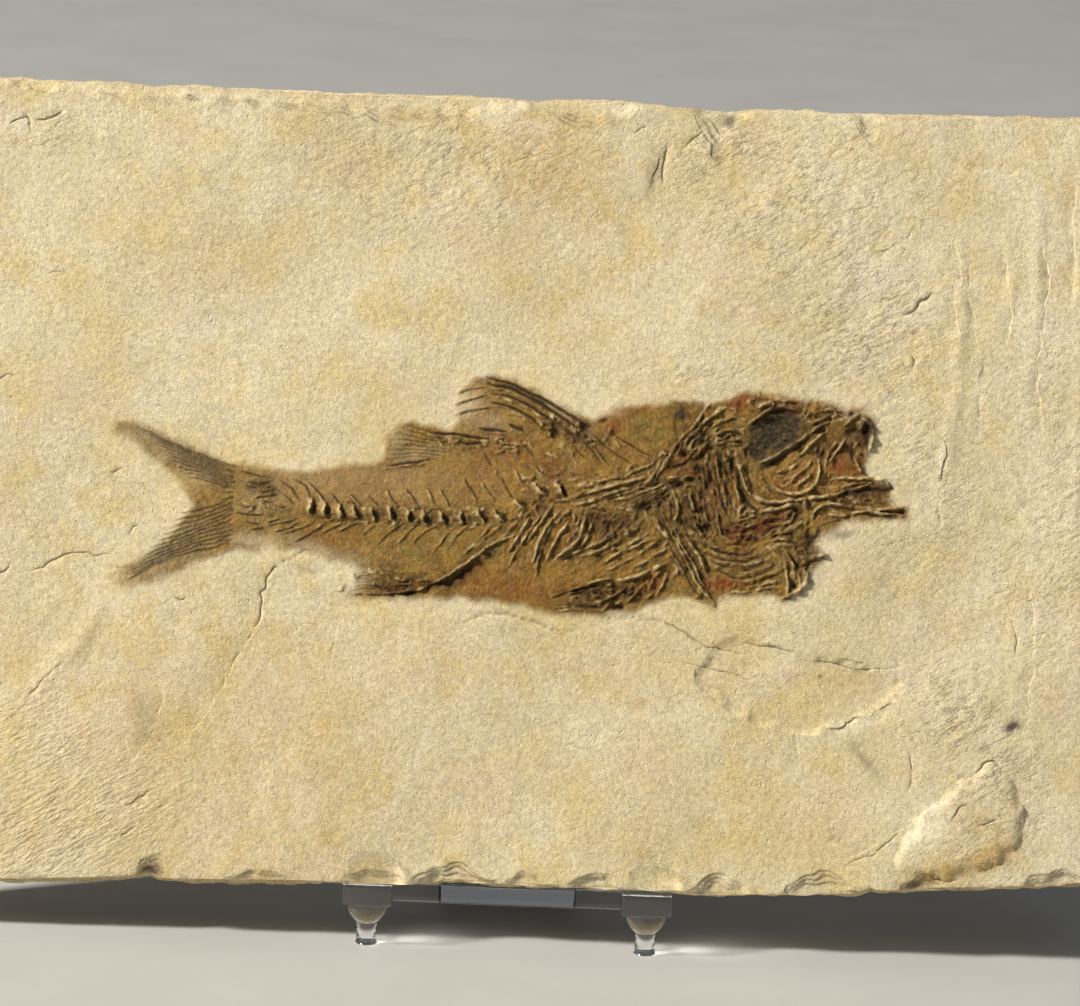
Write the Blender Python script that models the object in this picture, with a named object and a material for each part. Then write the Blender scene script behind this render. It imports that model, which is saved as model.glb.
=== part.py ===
"""Fossil fish slab: a petrified fish in a split limestone slab, leaning on a clear moulded easel.

The slab's face has its own axes: u to the right, v up the face and w out of it, all in millimetres.
The easel leans the face back, and its three feet stand on the ground at z = 0.
"""
import math
import random

import bmesh
import bpy
from mathutils import Matrix, Vector
from mathutils.geometry import delaunay_2d_cdt

MM = 0.001
GAP = 0.3                       # clearance between touching pieces
MERGE = 0.05                    # points closer than this become one

# Slab
THICKNESS = 12.0
SHELF_U = 1.2                   # the face's place over the easel's middle, on its shelf
SHELF_V = -49.67
SLAB_TURN = math.radians(0.87)  # the slab lies turned on its uneven lower edge
LEAN = math.radians(12.0)
SHELF_HEIGHT = 7.55             # shelf above the ground, at the face
FACE_GRID = 5.2
BACK_GRID = 7.5
GRID_CLEAR = 0.6                # clear of the rim, in grid steps
RIM_STEP = 4.5
BED_LAYERS = ((-2.6, 0.5), (-4.4, -0.5), (-7.3, 0.7), (-9.6, -0.3))     # depth, how far it stands out
BACK_EDGE_INSET = 0.6
RIM_ROUGHNESS = 0.35
BED_ROUGHNESS = 0.3
BACK_ROUGHNESS = 0.25
CHIP_START = 0.35               # share of a chip's depth reached right at its line
BEYOND_RIM = 60.0               # a face coordinate outside the slab, to close the chips

# Fish
BED_DEPTH = 1.3                 # floor of the shallow bed that the fossil fills
SKIN = 0.12                     # stained film standing above the stone
SKIN_SLOPE = 0.25
BONE_END = 0.35                 # share of a bone's height left at its two ends
BONE_TAPER = 4.0
CUTTER_TOP = 6.0
VERTEBRA_PITCH = 2.16
VERTEBRA_HALF = (0.92, 1.1)
VERTEBRA_RISE = 0.75
VERTEBRA_SLOPE = 0.45
VERTEBRA_CORE = 0.45            # size of a vertebra's flat crown to its whole
FIRST_VERTEBRA = 0.4
VERTEBRA_SIDES = 8

# Easel
PLATE = 2.5
WELD = 0.05                     # how far the united pieces' faces stand apart
ARM_U = 17.45
ARM_WIDTH = 6.2
LIP = 2.0
LIP_RISE = 4.3
LIP_ROUNDING = 1.6
SPINE_WIDTH = 17.4
BACKREST = 58.0
BACKREST_THICK = 2.3
BACKREST_ROUNDING = 6.0
FILLET = 2.0
BARE_TONGUE = 2.0               # how far the tongue reaches ahead of the backrest, into the crossbar
BAR_INSET = 0.4
BAR_ROUNDING = 0.3
CROSSBAR = (8.6, 16.4)          # front and rear edge, measured back from the face
FOOT_REAR = 36.0
FOOT_CHAMFER = 0.7
DOME_RADIUS = 2.45
DOME_Z = 4.9
DOME_STEPS = 5
BOSS_HEIGHT = 0.9
PEG_RADIUS = 1.25
PEG_Y = 0.3
PEG_FLARE = (0.15, 0.35)        # how much wider its end is, and over what height
PEG_SIDES = 18

SLAB_OUTLINE = (
    (-76.3, -42.0), (-75.2, -47.6), (-73.0, -49.5), (-62.2, -49.7), (-52.0, -49.3), (-46.0, -48.9),
    (-43.4, -48.1), (-41.0, -49.1), (-25.4, -49.0), (-10.0, -48.9), (-6.0, -48.5), (0.0, -48.7),
    (8.0, -48.8), (14.0, -48.9), (25.0, -49.3), (38.0, -49.1), (45.9, -48.6), (46.7, -47.8),
    (47.6, -48.6), (55.0, -48.0), (66.0, -47.5), (73.6, -46.6), (75.4, -43.5), (76.1, -35.0),
    (75.0, -22.0), (75.8, -8.0), (74.8, 6.0), (76.0, 18.0), (75.2, 33.0), (75.6, 44.0), (73.4, 47.6),
    (66.0, 48.2), (45.0, 48.1), (31.0, 48.4), (27.0, 47.9), (20.0, 48.4), (16.5, 48.6), (10.0, 48.95),
    (2.5, 48.8), (-3.0, 49.1), (-20.0, 49.1), (-45.0, 49.6), (-66.0, 49.9), (-74.0, 49.2),
    (-76.0, 45.0), (-75.1, 31.0), (-76.4, 15.0), (-75.4, 2.0), (-76.2, -12.0), (-75.0, -28.0))

# Stretches of the rim where thin beds have chipped away: the line on the face, how deep, how wide
CHIPS = (
    (((-62.0, 48.9), (-40.0, 48.0), (-22.0, 47.0), (-13.0, 45.6), (-8.0, 46.2), (-2.0, 47.6), (1.0, 48.4)),
     0.9, 1.4),
    (((2.0, 48.0), (6.0, 46.6), (9.0, 46.0), (13.0, 47.0), (15.0, 48.0)), 0.8, 1.2),
    (((22.0, 48.0), (23.6, 45.6), (25.0, 42.4), (27.2, 45.2), (29.0, 47.6)), 1.1, 1.3),
    (((42.4, 47.6), (43.6, 45.0), (44.8, 44.8), (45.4, 47.4)), 0.8, 1.0),
    (((-45.4, -48.4), (-44.6, -46.0), (-42.6, -45.0), (-41.6, -47.0), (-40.8, -48.6)), 1.0, 1.1),
    (((-34.0, -48.7), (-30.0, -47.9), (-26.0, -48.5)), 0.7, 0.8),
    (((-20.5, -48.6), (-17.0, -46.2), (-14.6, -46.0), (-12.0, -48.5)), 1.0, 1.3),
    (((-10.6, -48.5), (-8.0, -47.0), (-5.0, -46.6), (-2.6, -47.9), (0.0, -48.4)), 1.1, 1.0),
    (((1.0, -48.3), (3.4, -47.4), (5.6, -48.4)), 0.7, 0.8),
    (((9.0, -48.4), (11.6, -47.3), (13.6, -47.4), (15.2, -48.6)), 0.9, 1.0),
    (((24.0, -49.0), (26.2, -47.3), (28.6, -47.0), (31.0, -48.9)), 0.9, 1.0),
    (((36.0, -48.8), (38.0, -47.0), (41.6, -46.6), (44.6, -48.2)), 0.9, 1.0),
    (((50.4, -47.9), (52.6, -46.6), (55.6, -47.6)), 0.8, 0.9),
    (((66.0, -47.2), (68.4, -45.6), (71.0, -45.7), (73.4, -46.6)), 0.9, 1.0))

# Low swells and cracks of the face: points, half width, rise (a crack sinks)
FACE_LINES = (
    (((55.6, 34.0), (56.2, 24.0), (55.6, 12.0), (54.4, 3.0), (54.0, -6.0)), 2.2, 0.55),
    (((61.6, 36.0), (62.4, 27.0), (61.8, 21.0)), 1.8, 0.45),
    (((65.4, 40.0), (65.8, 26.0), (64.6, 14.0)), 1.8, 0.5),
    (((70.6, 38.0), (71.2, 14.0), (70.6, -10.0)), 1.6, 0.4),
    (((-62.0, -25.8), (-56.0, -23.4), (-50.0, -14.0)), 2.2, 0.35),
    (((-59.6, -11.0), (-57.2, -10.0), (-56.0, -9.2), (-53.0, -8.5), (-50.8, -9.1), (-49.4, -8.8)),
     0.5, -0.4),
    (((-23.6, -8.6), (-25.0, -8.1), (-26.6, -8.8), (-28.6, -9.5), (-29.9, -11.0), (-30.2, -13.4),
      (-30.6, -15.4), (-30.5, -17.6), (-32.6, -20.8), (-34.6, -24.6)), 0.5, -0.4),
    (((-60.6, 44.6), (-58.6, 45.2), (-56.4, 46.2)), 0.6, -0.45),
    (((38.6, -29.2), (41.0, -28.3), (43.4, -27.4), (46.4, -26.4)), 0.5, -0.3),
    (((61.6, -32.6), (63.4, -30.4), (64.8, -27.4)), 0.6, -0.4),
    (((49.6, 21.4), (50.8, 24.0), (52.4, 25.6)), 0.7, -0.35))

# Beds that stand proud of the face, or lie sunk below it: outline, rise, width of the edge
FACE_BEDS = (
    (((49.4, -46.0), (50.6, -41.4), (53.6, -38.0), (57.6, -34.4), (61.4, -33.0), (64.4, -34.8),
      (65.6, -38.6), (65.0, -42.6), (62.4, -45.0), (58.4, -46.6), (53.6, -47.0)), 0.8, 1.6),
    (((27.6, -17.0), (36.0, -18.4), (46.6, -20.6), (50.4, -23.4), (46.6, -26.4), (38.6, -29.4),
      (31.4, -28.2), (24.0, -23.0)), -0.35, 1.2))

# Beds split away from the back, clear of the backrest: outline and depth
BACK_LEDGES = (
    ((-70.0, 44.0), (-52.0, 45.0), (-40.0, 38.0), (-30.0, 41.0), (-24.0, 30.0), (-38.0, 22.0),
     (-44.0, 6.0), (-58.0, 2.0), (-70.0, 10.0), (-70.0, 44.0)),
    ((20.0, -6.0), (32.0, -2.0), (46.0, -9.0), (62.0, -6.0), (70.0, -18.0), (68.0, -40.0),
     (50.0, -42.0), (34.0, -36.0), (22.0, -22.0), (20.0, -6.0)))
BACK_RISES = (1.1, 0.9)

FISH_OUTLINE = (
    (-50.0, 6.2), (-49.2, 7.6), (-46.6, 7.9), (-43.9, 6.9), (-40.6, 5.4), (-37.4, 4.1), (-34.6, 3.1),
    (-31.0, 2.8), (-28.0, 2.3), (-24.0, 2.4), (-20.0, 3.3), (-16.6, 3.6), (-15.8, 4.6), (-15.4, 6.6),
    (-14.3, 8.2), (-12.4, 8.8), (-10.6, 8.3), (-8.6, 8.0), (-6.9, 8.4), (-6.7, 10.6), (-6.3, 12.5),
    (-5.2, 13.8), (-4.0, 14.7), (-1.4, 14.7), (1.2, 13.9), (4.6, 12.4), (7.6, 10.8), (10.2, 9.6),
    (11.4, 10.3), (13.4, 11.3), (17.0, 11.6), (21.4, 12.1), (25.2, 12.0), (27.4, 12.4), (28.6, 13.3),
    (32.4, 13.2), (36.6, 12.6), (40.0, 12.4), (42.0, 11.8), (44.4, 11.5), (45.6, 10.5), (45.9, 9.2),
    (45.0, 6.2), (44.6, 3.5), (46.9, 2.8), (48.1, 1.4), (48.0, -0.2), (49.9, -0.7), (50.0, -2.2),
    (46.6, -2.5), (42.6, -2.8), (40.4, -4.2), (38.9, -5.4), (40.2, -7.0), (38.6, -8.2), (37.6, -10.4),
    (36.6, -11.8), (35.0, -12.7), (32.6, -12.0), (29.0, -12.3), (27.0, -12.6), (26.4, -14.2),
    (24.8, -13.2), (22.6, -12.4), (19.0, -13.2), (15.6, -14.6), (11.0, -15.1), (6.4, -15.1),
    (2.4, -14.2), (-2.0, -13.7), (-7.0, -13.4), (-13.6, -13.6), (-20.4, -13.6), (-19.0, -11.4),
    (-19.2, -9.6), (-23.0, -8.9), (-26.0, -7.8), (-30.0, -7.7), (-35.4, -8.4), (-38.8, -9.6),
    (-42.0, -11.2), (-45.6, -12.6), (-48.6, -13.0), (-49.2, -11.4), (-47.0, -9.9), (-43.6, -7.4),
    (-41.0, -4.9), (-39.8, -1.9), (-42.2, 0.9), (-44.8, 3.3), (-47.4, 5.2))

BACKBONE = (
    (-26.4, -3.0), (-20.0, -3.2), (-12.0, -3.2), (-5.0, -3.0), (-2.0, -2.6), (0.4, -2.0), (2.6, -1.1),
    (4.8, 0.1), (6.6, 1.0))

NEURAL_SPINES = (
    ((-26.9, 1.1), (-25.2, 0.2), (-24.6, -1.9)),
    ((-24.9, 0.8), (-23.6, -0.6), (-22.7, -1.9)),
    ((-22.1, -0.7), (-20.5, -2.1)),
    ((-19.5, -0.6), (-18.2, -2.1)),
    ((-17.4, -0.6), (-15.9, -2.3)),
    ((-15.1, 0.1), (-13.5, -2.1)),
    ((-12.6, 0.2), (-11.7, -1.1), (-10.9, -2.1)),
    ((-9.9, 0.4), (-8.8, -2.1)),
    ((-8.3, 0.2), (-6.9, -2.0)),
    ((-5.4, 1.8), (-4.6, 0.4), (-3.7, -1.3)),
    ((-3.1, 1.3), (-2.3, 0.0), (-1.4, -1.2)),
    ((-0.8, 2.1), (-0.1, 0.6), (0.8, -0.9)),
    ((1.0, 3.1), (1.7, 1.6), (3.1, 0.2)),
    ((3.5, 3.7), (4.0, 2.8), (5.2, 2.1)))

HAEMAL_SPINES = (
    ((-27.8, -5.8), (-25.2, -4.9), (-23.9, -4.2)),
    ((-26.4, -6.8), (-24.0, -5.5), (-22.4, -4.3)),
    ((-23.0, -5.7), (-20.6, -4.3)),
    ((-20.9, -5.2), (-18.4, -4.2)),
    ((-17.9, -5.9), (-16.3, -4.4)),
    ((-16.0, -7.0), (-14.2, -5.2), (-12.6, -3.9)),
    ((-13.4, -6.7), (-12.0, -5.0), (-10.9, -4.1)),
    ((-11.6, -6.6), (-9.8, -4.9), (-8.3, -4.3)),
    ((-8.9, -7.6), (-7.4, -5.8), (-6.2, -4.2)),
    ((-7.0, -6.9), (-5.6, -5.2), (-4.4, -3.9)),
    ((-4.9, -7.8), (-3.0, -5.9), (-1.8, -4.2)))

ANAL_SPINE = (
    (1.0, -5.1), (-1.4, -6.3), (-3.2, -7.5), (-5.4, -9.2), (-7.6, -10.7), (-9.4, -11.8), (-12.0, -12.6),
    (-15.0, -12.9), (-19.0, -13.0))

DORSAL_SPINES = (
    ((10.1, 8.7), (7.2, 10.2), (4.6, 11.6), (2.0, 12.9), (-0.8, 13.9), (-3.6, 14.3)),
    ((7.1, 8.8), (5.4, 9.9), (2.4, 11.6), (-0.4, 12.8), (-3.2, 13.4)),
    ((5.3, 8.1), (3.4, 9.7), (0.6, 11.2), (-2.0, 12.0), (-5.0, 12.0)),
    ((3.7, 8.2), (1.0, 9.6), (-2.6, 10.8)),
    ((1.8, 7.7), (-0.6, 8.8)),
    ((-0.3, 7.3), (-3.9, 7.8)))

FIN_BEARERS = (
    ((8.4, 6.4), (9.6, 5.0)),
    ((9.7, 6.4), (11.6, 4.1)),
    ((11.2, 5.9), (12.2, 4.5)),
    ((10.4, 7.5), (12.6, 5.9), (15.3, 4.2)),
    ((13.2, 7.9), (15.4, 6.5), (17.7, 5.1)),
    ((20.5, 10.2), (20.7, 8.5), (20.9, 7.0)),
    ((-1.4, 6.1), (1.6, 5.8)))

RIBS = (
    ((6.9, -1.9), (5.2, -3.8), (4.2, -5.9), (3.4, -8.6)),
    ((7.7, -3.4), (6.4, -5.3), (5.0, -8.1)),
    ((4.4, -2.3), (3.0, -4.5), (1.2, -7.4), (0.4, -9.1)),
    ((3.0, -2.9), (1.6, -5.1), (0.3, -7.2)),
    ((5.8, -1.4), (4.5, -3.1), (2.6, -6.2)),
    ((13.4, -5.0), (10.6, -6.3), (8.2, -7.5), (6.4, -8.1)),
    ((16.4, -5.2), (14.2, -7.0), (12.2, -8.4)),
    ((14.2, -5.5), (11.6, -6.9), (9.4, -7.6)),
    ((17.8, -5.4), (15.4, -6.6), (13.0, -7.7)),
    ((7.2, -0.8), (9.8, 0.2), (13.0, 1.1), (17.2, 2.7)),
    ((8.2, -1.2), (10.4, -0.9), (12.8, 0.3), (15.2, 1.0)))

SHOULDER = (
    ((23.6, 9.9), (21.6, 7.4), (20.1, 5.2), (19.2, 3.0), (18.5, 0.8)),
    ((18.3, 4.2), (18.9, 5.3), (19.9, 5.3)),
    ((10.0, -1.6), (9.5, -4.0), (8.4, -6.2), (6.0, -8.2)),
    ((18.2, -1.8), (18.7, -3.6), (19.6, -5.4)),
    ((21.7, -1.2), (21.2, -2.6), (20.8, -3.6)),
    ((23.2, -1.0), (22.8, -2.2), (23.0, -4.2)),
    ((20.3, -8.2), (18.0, -9.3), (15.6, -10.2), (13.8, -10.5)),
    ((22.0, -7.4), (23.2, -9.6), (24.4, -11.6), (25.8, -13.6)),
    ((25.7, 2.6), (26.4, 0.7), (27.2, -2.4)),
    ((28.1, 5.7), (28.9, 3.7), (29.8, 1.4)),
    ((26.9, 5.2), (27.6, 3.4), (28.2, 1.4)),
    ((21.9, 2.9), (22.9, 2.4), (24.2, 2.6)),
    ((20.4, 3.9), (21.8, 4.6), (22.8, 6.2)))

PELVIC_SPINES = (
    ((13.6, -10.2), (11.0, -10.9), (8.4, -11.9), (5.9, -12.7)),
    ((12.4, -11.5), (10.0, -11.9), (7.6, -12.5)),
    ((17.2, -11.0), (16.2, -12.4), (15.2, -13.3)),
    ((18.5, -12.0), (17.5, -12.8)))

SKULL = (
    ((30.0, 9.3), (31.9, 11.2), (34.4, 11.6), (36.4, 10.7), (36.8, 9.2)),
    ((31.0, 4.2), (33.3, 5.3), (35.2, 6.5), (36.9, 7.7), (38.4, 8.6), (40.0, 9.9)),
    ((30.2, 0.9), (31.4, -0.3), (33.6, 0.0), (36.5, 0.1), (39.0, 0.2), (41.2, 0.9), (43.2, 1.5),
     (44.8, 2.3)),
    ((44.2, 2.9), (45.6, 2.7), (47.0, 2.1)),
    ((39.8, 4.6), (40.9, 6.0), (41.9, 7.6)),
    ((42.7, 2.9), (42.8, 4.6), (42.9, 6.2)),
    ((44.9, 10.2), (44.2, 8.8), (43.6, 7.6)),
    ((38.9, 3.0), (39.1, 4.6), (40.2, 6.4)),
    ((33.0, 1.7), (34.6, 0.9), (37.2, 1.2), (38.6, 2.6)),
    ((34.4, 2.4), (35.8, 3.4), (37.4, 5.2)),
    ((30.4, -1.0), (32.0, -1.7), (34.4, -1.5), (36.6, -0.9)),
    ((37.0, -0.5), (37.1, -1.8), (36.8, -3.4)),
    ((25.6, 9.4), (27.6, 10.2), (29.6, 10.6)),
    ((25.0, 7.2), (27.0, 8.1), (29.0, 7.9)),
    ((38.4, 11.6), (40.6, 11.5), (42.4, 10.9)))

LOWER_JAW = (
    ((38.4, -2.7), (39.6, -1.8), (42.0, -1.9), (45.4, -1.5), (49.3, -1.6)),
    ((38.5, -0.9), (40.2, -0.9), (42.6, -1.1), (46.8, -0.8)),
    ((38.0, -3.0), (37.8, -4.4), (36.8, -5.8), (35.2, -6.3)),
    ((39.0, -3.6), (41.2, -2.8)),
    ((34.5, -7.0), (35.4, -8.8), (36.6, -10.6)),
    ((37.2, -8.1), (39.8, -7.1)),
    ((36.4, -11.3), (34.6, -12.2)))

THROAT = (
    ((24.2, -5.3), (25.6, -6.2), (27.4, -6.7), (29.4, -6.8), (31.3, -6.1)),
    ((25.0, -7.1), (27.2, -7.9), (29.6, -8.0), (31.4, -7.4)),
    ((25.2, -8.2), (27.6, -8.8), (30.0, -9.0), (32.3, -8.0)),
    ((25.2, -9.5), (27.6, -10.0), (30.6, -10.1), (33.2, -9.1)),
    ((26.8, -11.2), (29.2, -11.0), (31.6, -10.7), (33.0, -10.2)))

ORBIT = (
    ((30.4, 8.6), (31.8, 10.4), (34.2, 10.7), (36.0, 9.6), (35.8, 7.9), (34.2, 6.3), (32.4, 5.6),
     (30.8, 6.4)), -0.35, 0.5)


def fan(first_root, last_root, first_tip, last_tip, count, bow=0.0):
    """Fin rays spread evenly between two outer rays, each bowed sideways by the same share."""
    rays = []
    for number in range(count):
        share = number / (count - 1)
        root = Vector(first_root).lerp(Vector(last_root), share)
        tip = Vector(first_tip).lerp(Vector(last_tip), share)
        side = Vector((root.y - tip.y, tip.x - root.x)) * bow * (1.0 - 2.0 * share)
        rays.append((tuple(root), tuple(root.lerp(tip, 0.5) + side), tuple(tip)))
    return rays


def fin_rays():
    return (fan((-34.3, 2.3), (-34.2, -1.0), (-46.0, 6.9), (-40.2, -1.0), 8, 0.03)
            + fan((-34.3, -2.1), (-34.8, -7.2), (-39.6, -3.0), (-46.6, -11.9), 8, 0.05)
            + fan((-3.4, 6.9), (-9.2, 4.2), (-12.0, 8.1), (-15.0, 3.9), 6, 0.04)
            + fan((-10.6, -10.3), (-10.8, -11.6), (-17.8, -9.9), (-17.6, -12.1), 4)
            + fan((13.4, -12.6), (12.4, -14.3), (7.4, -13.2), (6.8, -14.6), 3))


def tail_fan():
    """The flat bones that spread from the last vertebra to the roots of the tail rays."""
    return fan((-28.6, -2.2), (-28.4, -4.0), (-33.4, 1.6), (-33.4, -6.6), 6)


def bones():
    """Every raised bone as (points, half width, rise)."""
    sets = (
        (NEURAL_SPINES, 0.26, 0.32), (HAEMAL_SPINES, 0.28, 0.36), ((ANAL_SPINE,), 0.62, 0.8),
        (DORSAL_SPINES, 0.34, 0.45), (FIN_BEARERS, 0.3, 0.38), (RIBS, 0.36, 0.5), (SHOULDER, 0.42, 0.6),
        (PELVIC_SPINES, 0.38, 0.5), (SKULL, 0.42, 0.65), (LOWER_JAW, 0.4, 0.55), (THROAT, 0.32, 0.45),
        (fin_rays(), 0.24, 0.24), (tail_fan(), 0.34, 0.34))
    return [(points, half, rise) for group, half, rise in sets for points in group]


def segment_distance(point, start, end):
    """Distance from a point to a segment, and how far along it the foot lies."""
    along = end - start
    share = max(0.0, min(1.0, (point - start).dot(along) / along.length_squared))
    return (point - start - along * share).length, share


def line_rise(point, line):
    """Rise of one tented line at a point: full on its crest, none at its half width, thin at its ends."""
    points, half, rise = line
    best = 0.0
    spans = len(points) - 1
    for number in range(spans):
        away, share = segment_distance(point, Vector(points[number]), Vector(points[number + 1]))
        if away >= half:
            continue
        position = (number + share) / spans
        taper = min(1.0, BONE_END + BONE_TAPER * min(position, 1.0 - position))
        best = max(best, taper * (1.0 - away / half))
    return best * rise


def side_line(points, offset):
    """The line's points moved sideways, without the two end points."""
    moved = []
    for number in range(1, len(points) - 1):
        along = (Vector(points[number + 1]) - Vector(points[number - 1])).normalized()
        moved.append(tuple(Vector(points[number]) + Vector((-along.y, along.x)) * offset))
    if not moved:
        start, end = Vector(points[0]), Vector(points[1])
        along = (end - start).normalized()
        moved = [tuple(start.lerp(end, 0.5) + Vector((-along.y, along.x)) * offset)]
    return moved


def inside(point, outline):
    within = False
    x, y = point
    for number, (x1, y1) in enumerate(outline):
        x0, y0 = outline[number - 1]
        if (y0 > y) != (y1 > y) and x < x0 + (x1 - x0) * (y - y0) / (y1 - y0):
            within = not within
    return within


def edge_distance(point, outline):
    spot = Vector(point)
    return min(segment_distance(spot, Vector(outline[number - 1]), Vector(outline[number]))[0]
               for number in range(len(outline)))


def bed_rise(point, bed):
    """Rise of a flat bed: full inside its edge strip, none outside its outline."""
    outline, rise, strip = bed
    if not inside(point, outline):
        return 0.0
    return rise * min(1.0, edge_distance(point, outline) / strip)


def face_rise(point):
    """Height of the stone's face above its mean plane."""
    u, v = point
    rise = 0.22 * math.sin(u / 17.0 + 0.8) * math.cos(v / 13.0 - 0.4) + 0.12 * math.sin(u / 6.1 - v / 7.7)
    spot = Vector(point)
    lines = [line_rise(spot, line) for line in FACE_LINES]
    rise += max(lines) + min(lines)
    rise += sum(bed_rise(point, bed) for bed in FACE_BEDS)
    for line, depth, width in CHIPS:
        beyond = math.copysign(BEYOND_RIM, line[0][1])
        closed = line + ((line[-1][0], beyond), (line[0][0], beyond))
        if inside(point, closed):
            away = min(segment_distance(spot, Vector(a), Vector(b))[0] for a, b in zip(line, line[1:]))
            rise -= depth * min(1.0, CHIP_START + away / width)
    return rise


def dense_outline(outline, step):
    """The outline with points added so that no span is longer than the step."""
    points = []
    for number, point in enumerate(outline):
        start, end = Vector(point), Vector(outline[(number + 1) % len(outline)])
        spans = max(1, round((end - start).length / step))
        points += [tuple(start.lerp(end, span / spans)) for span in range(spans)]
    return points


def grown_outline(outline, grow):
    """The outline with each point moved out along the bisector of its corner."""
    moved = []
    for number, point in enumerate(outline):
        before = (Vector(point) - Vector(outline[number - 1])).normalized()
        after = (Vector(outline[(number + 1) % len(outline)]) - Vector(point)).normalized()
        normal = Vector((before.y + after.y, -before.x - after.x)).normalized()
        cosine = max(0.55, normal.dot(Vector((before.y, -before.x))))
        moved.append(tuple(Vector(point) + normal * grow / cosine))
    return moved


def signed_area(outline):
    return 0.5 * sum(outline[n - 1][0] * outline[n][1] - outline[n][0] * outline[n - 1][1]
                     for n in range(len(outline)))


def counter_clockwise(outline):
    return tuple(outline) if signed_area(outline) > 0 else tuple(reversed(outline))


def hex_grid(outline, step, clear):
    """Evenly spread points inside an outline, kept clear of its edge."""
    points = []
    us, vs = zip(*outline)
    row, v = 0, min(vs)
    while v < max(vs):
        u = min(us) + (row % 2) * step / 2
        while u < max(us):
            if inside((u, v), outline) and edge_distance((u, v), outline) > clear:
                points.append((u, v))
            u += step
        v += step * math.sqrt(0.75)
        row += 1
    return points


def triangulate(outline, loose, lines, merge):
    """Triangles of the outline's inside through loose points and along feature lines."""
    points = [Vector(point) for point in outline]
    edges = [(number, (number + 1) % len(outline)) for number in range(len(outline))]
    for line in lines:
        edges += [(len(points) + number, len(points) + number + 1) for number in range(len(line) - 1)]
        points += [Vector(point) for point in line]
    points += [Vector(point) for point in loose]
    corners, _, faces, _, _, _ = delaunay_2d_cdt(points, edges, [], 1, merge)
    return corners, faces


def tented_lines(lines):
    """Crest and side lines of tented strokes, for the triangulation."""
    result = []
    for points, half, _ in lines:
        result.append(points)
        for side in (half, -half):
            result.append((points[0],) + tuple(side_line(points, side)) + (points[-1],))
    return result


def sheet_mesh(corners, faces, rise):
    """A bmesh sheet over the triangles, facing +Z, with its height from a function."""
    mesh = bmesh.new()
    verts = [mesh.verts.new((*corner, rise(tuple(corner)))) for corner in corners]
    for face in faces:
        loop = [verts[corner] for corner in face]
        turned = (loop[1].co - loop[0].co).cross(loop[2].co - loop[0].co).z < 0
        mesh.faces.new(reversed(loop) if turned else loop)
    for vert in [vert for vert in mesh.verts if not vert.link_faces]:
        mesh.verts.remove(vert)
    return mesh


def rim_loop(mesh):
    """The sheet's open rim as one ordered, counter-clockwise list of its vertices."""
    following = {}
    for edge in mesh.edges:
        if len(edge.link_loops) == 1:
            loop = edge.link_loops[0]
            following[loop.vert] = loop.link_loop_next.vert
    start = next(iter(following))
    ring = [start]
    while following[ring[-1]] is not start:
        ring.append(following[ring[-1]])
    return ring


def add_wall(mesh, upper, lower):
    """Quads between two rings of the same length, facing out."""
    for number in range(len(upper)):
        mesh.faces.new((upper[number - 1], lower[number - 1], lower[number], upper[number]))


def close_bottom(mesh, ring):
    floor = mesh.faces.new(list(reversed(ring)))
    bmesh.ops.triangulate(mesh, faces=[floor])


def material(name, colour, roughness, alpha=1.0, transmission=0.0):
    finish = bpy.data.materials.new(name)
    finish.use_nodes = True
    shader = finish.node_tree.nodes["Principled BSDF"]
    shader.inputs["Base Color"].default_value = (*colour, 1.0)
    shader.inputs["Roughness"].default_value = roughness
    shader.inputs["Metallic"].default_value = 0.0
    shader.inputs["Alpha"].default_value = alpha
    shader.inputs["Transmission Weight"].default_value = transmission
    finish.diffuse_color = (*colour, alpha)
    return finish


def new_object(name, mesh, finish=None):
    """An object from a bmesh, which is freed."""
    data = bpy.data.meshes.new(name)
    mesh.to_mesh(data)
    mesh.free()
    item = bpy.data.objects.new(name, data)
    bpy.context.collection.objects.link(item)
    if finish:
        data.materials.append(finish)
    return item


def new_cutter(name, mesh):
    cutter = new_object(name, mesh)
    cutter.hide_render = True
    cutter.display_type = "WIRE"
    return cutter


def combine(item, other, operation):
    change = item.modifiers.new(other.name, "BOOLEAN")
    change.operation = operation
    change.solver = "EXACT"
    change.object = other


def above_shelf(u, v, w):
    """The same place, raised to rest on the easel's shelf where it lies over it."""
    over = abs(u - SHELF_U) < ARM_U + ARM_WIDTH
    shelf = SHELF_V - (u - SHELF_U) * math.tan(SLAB_TURN)
    return (u, max(v, shelf + GAP) if over else v, w)


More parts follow.
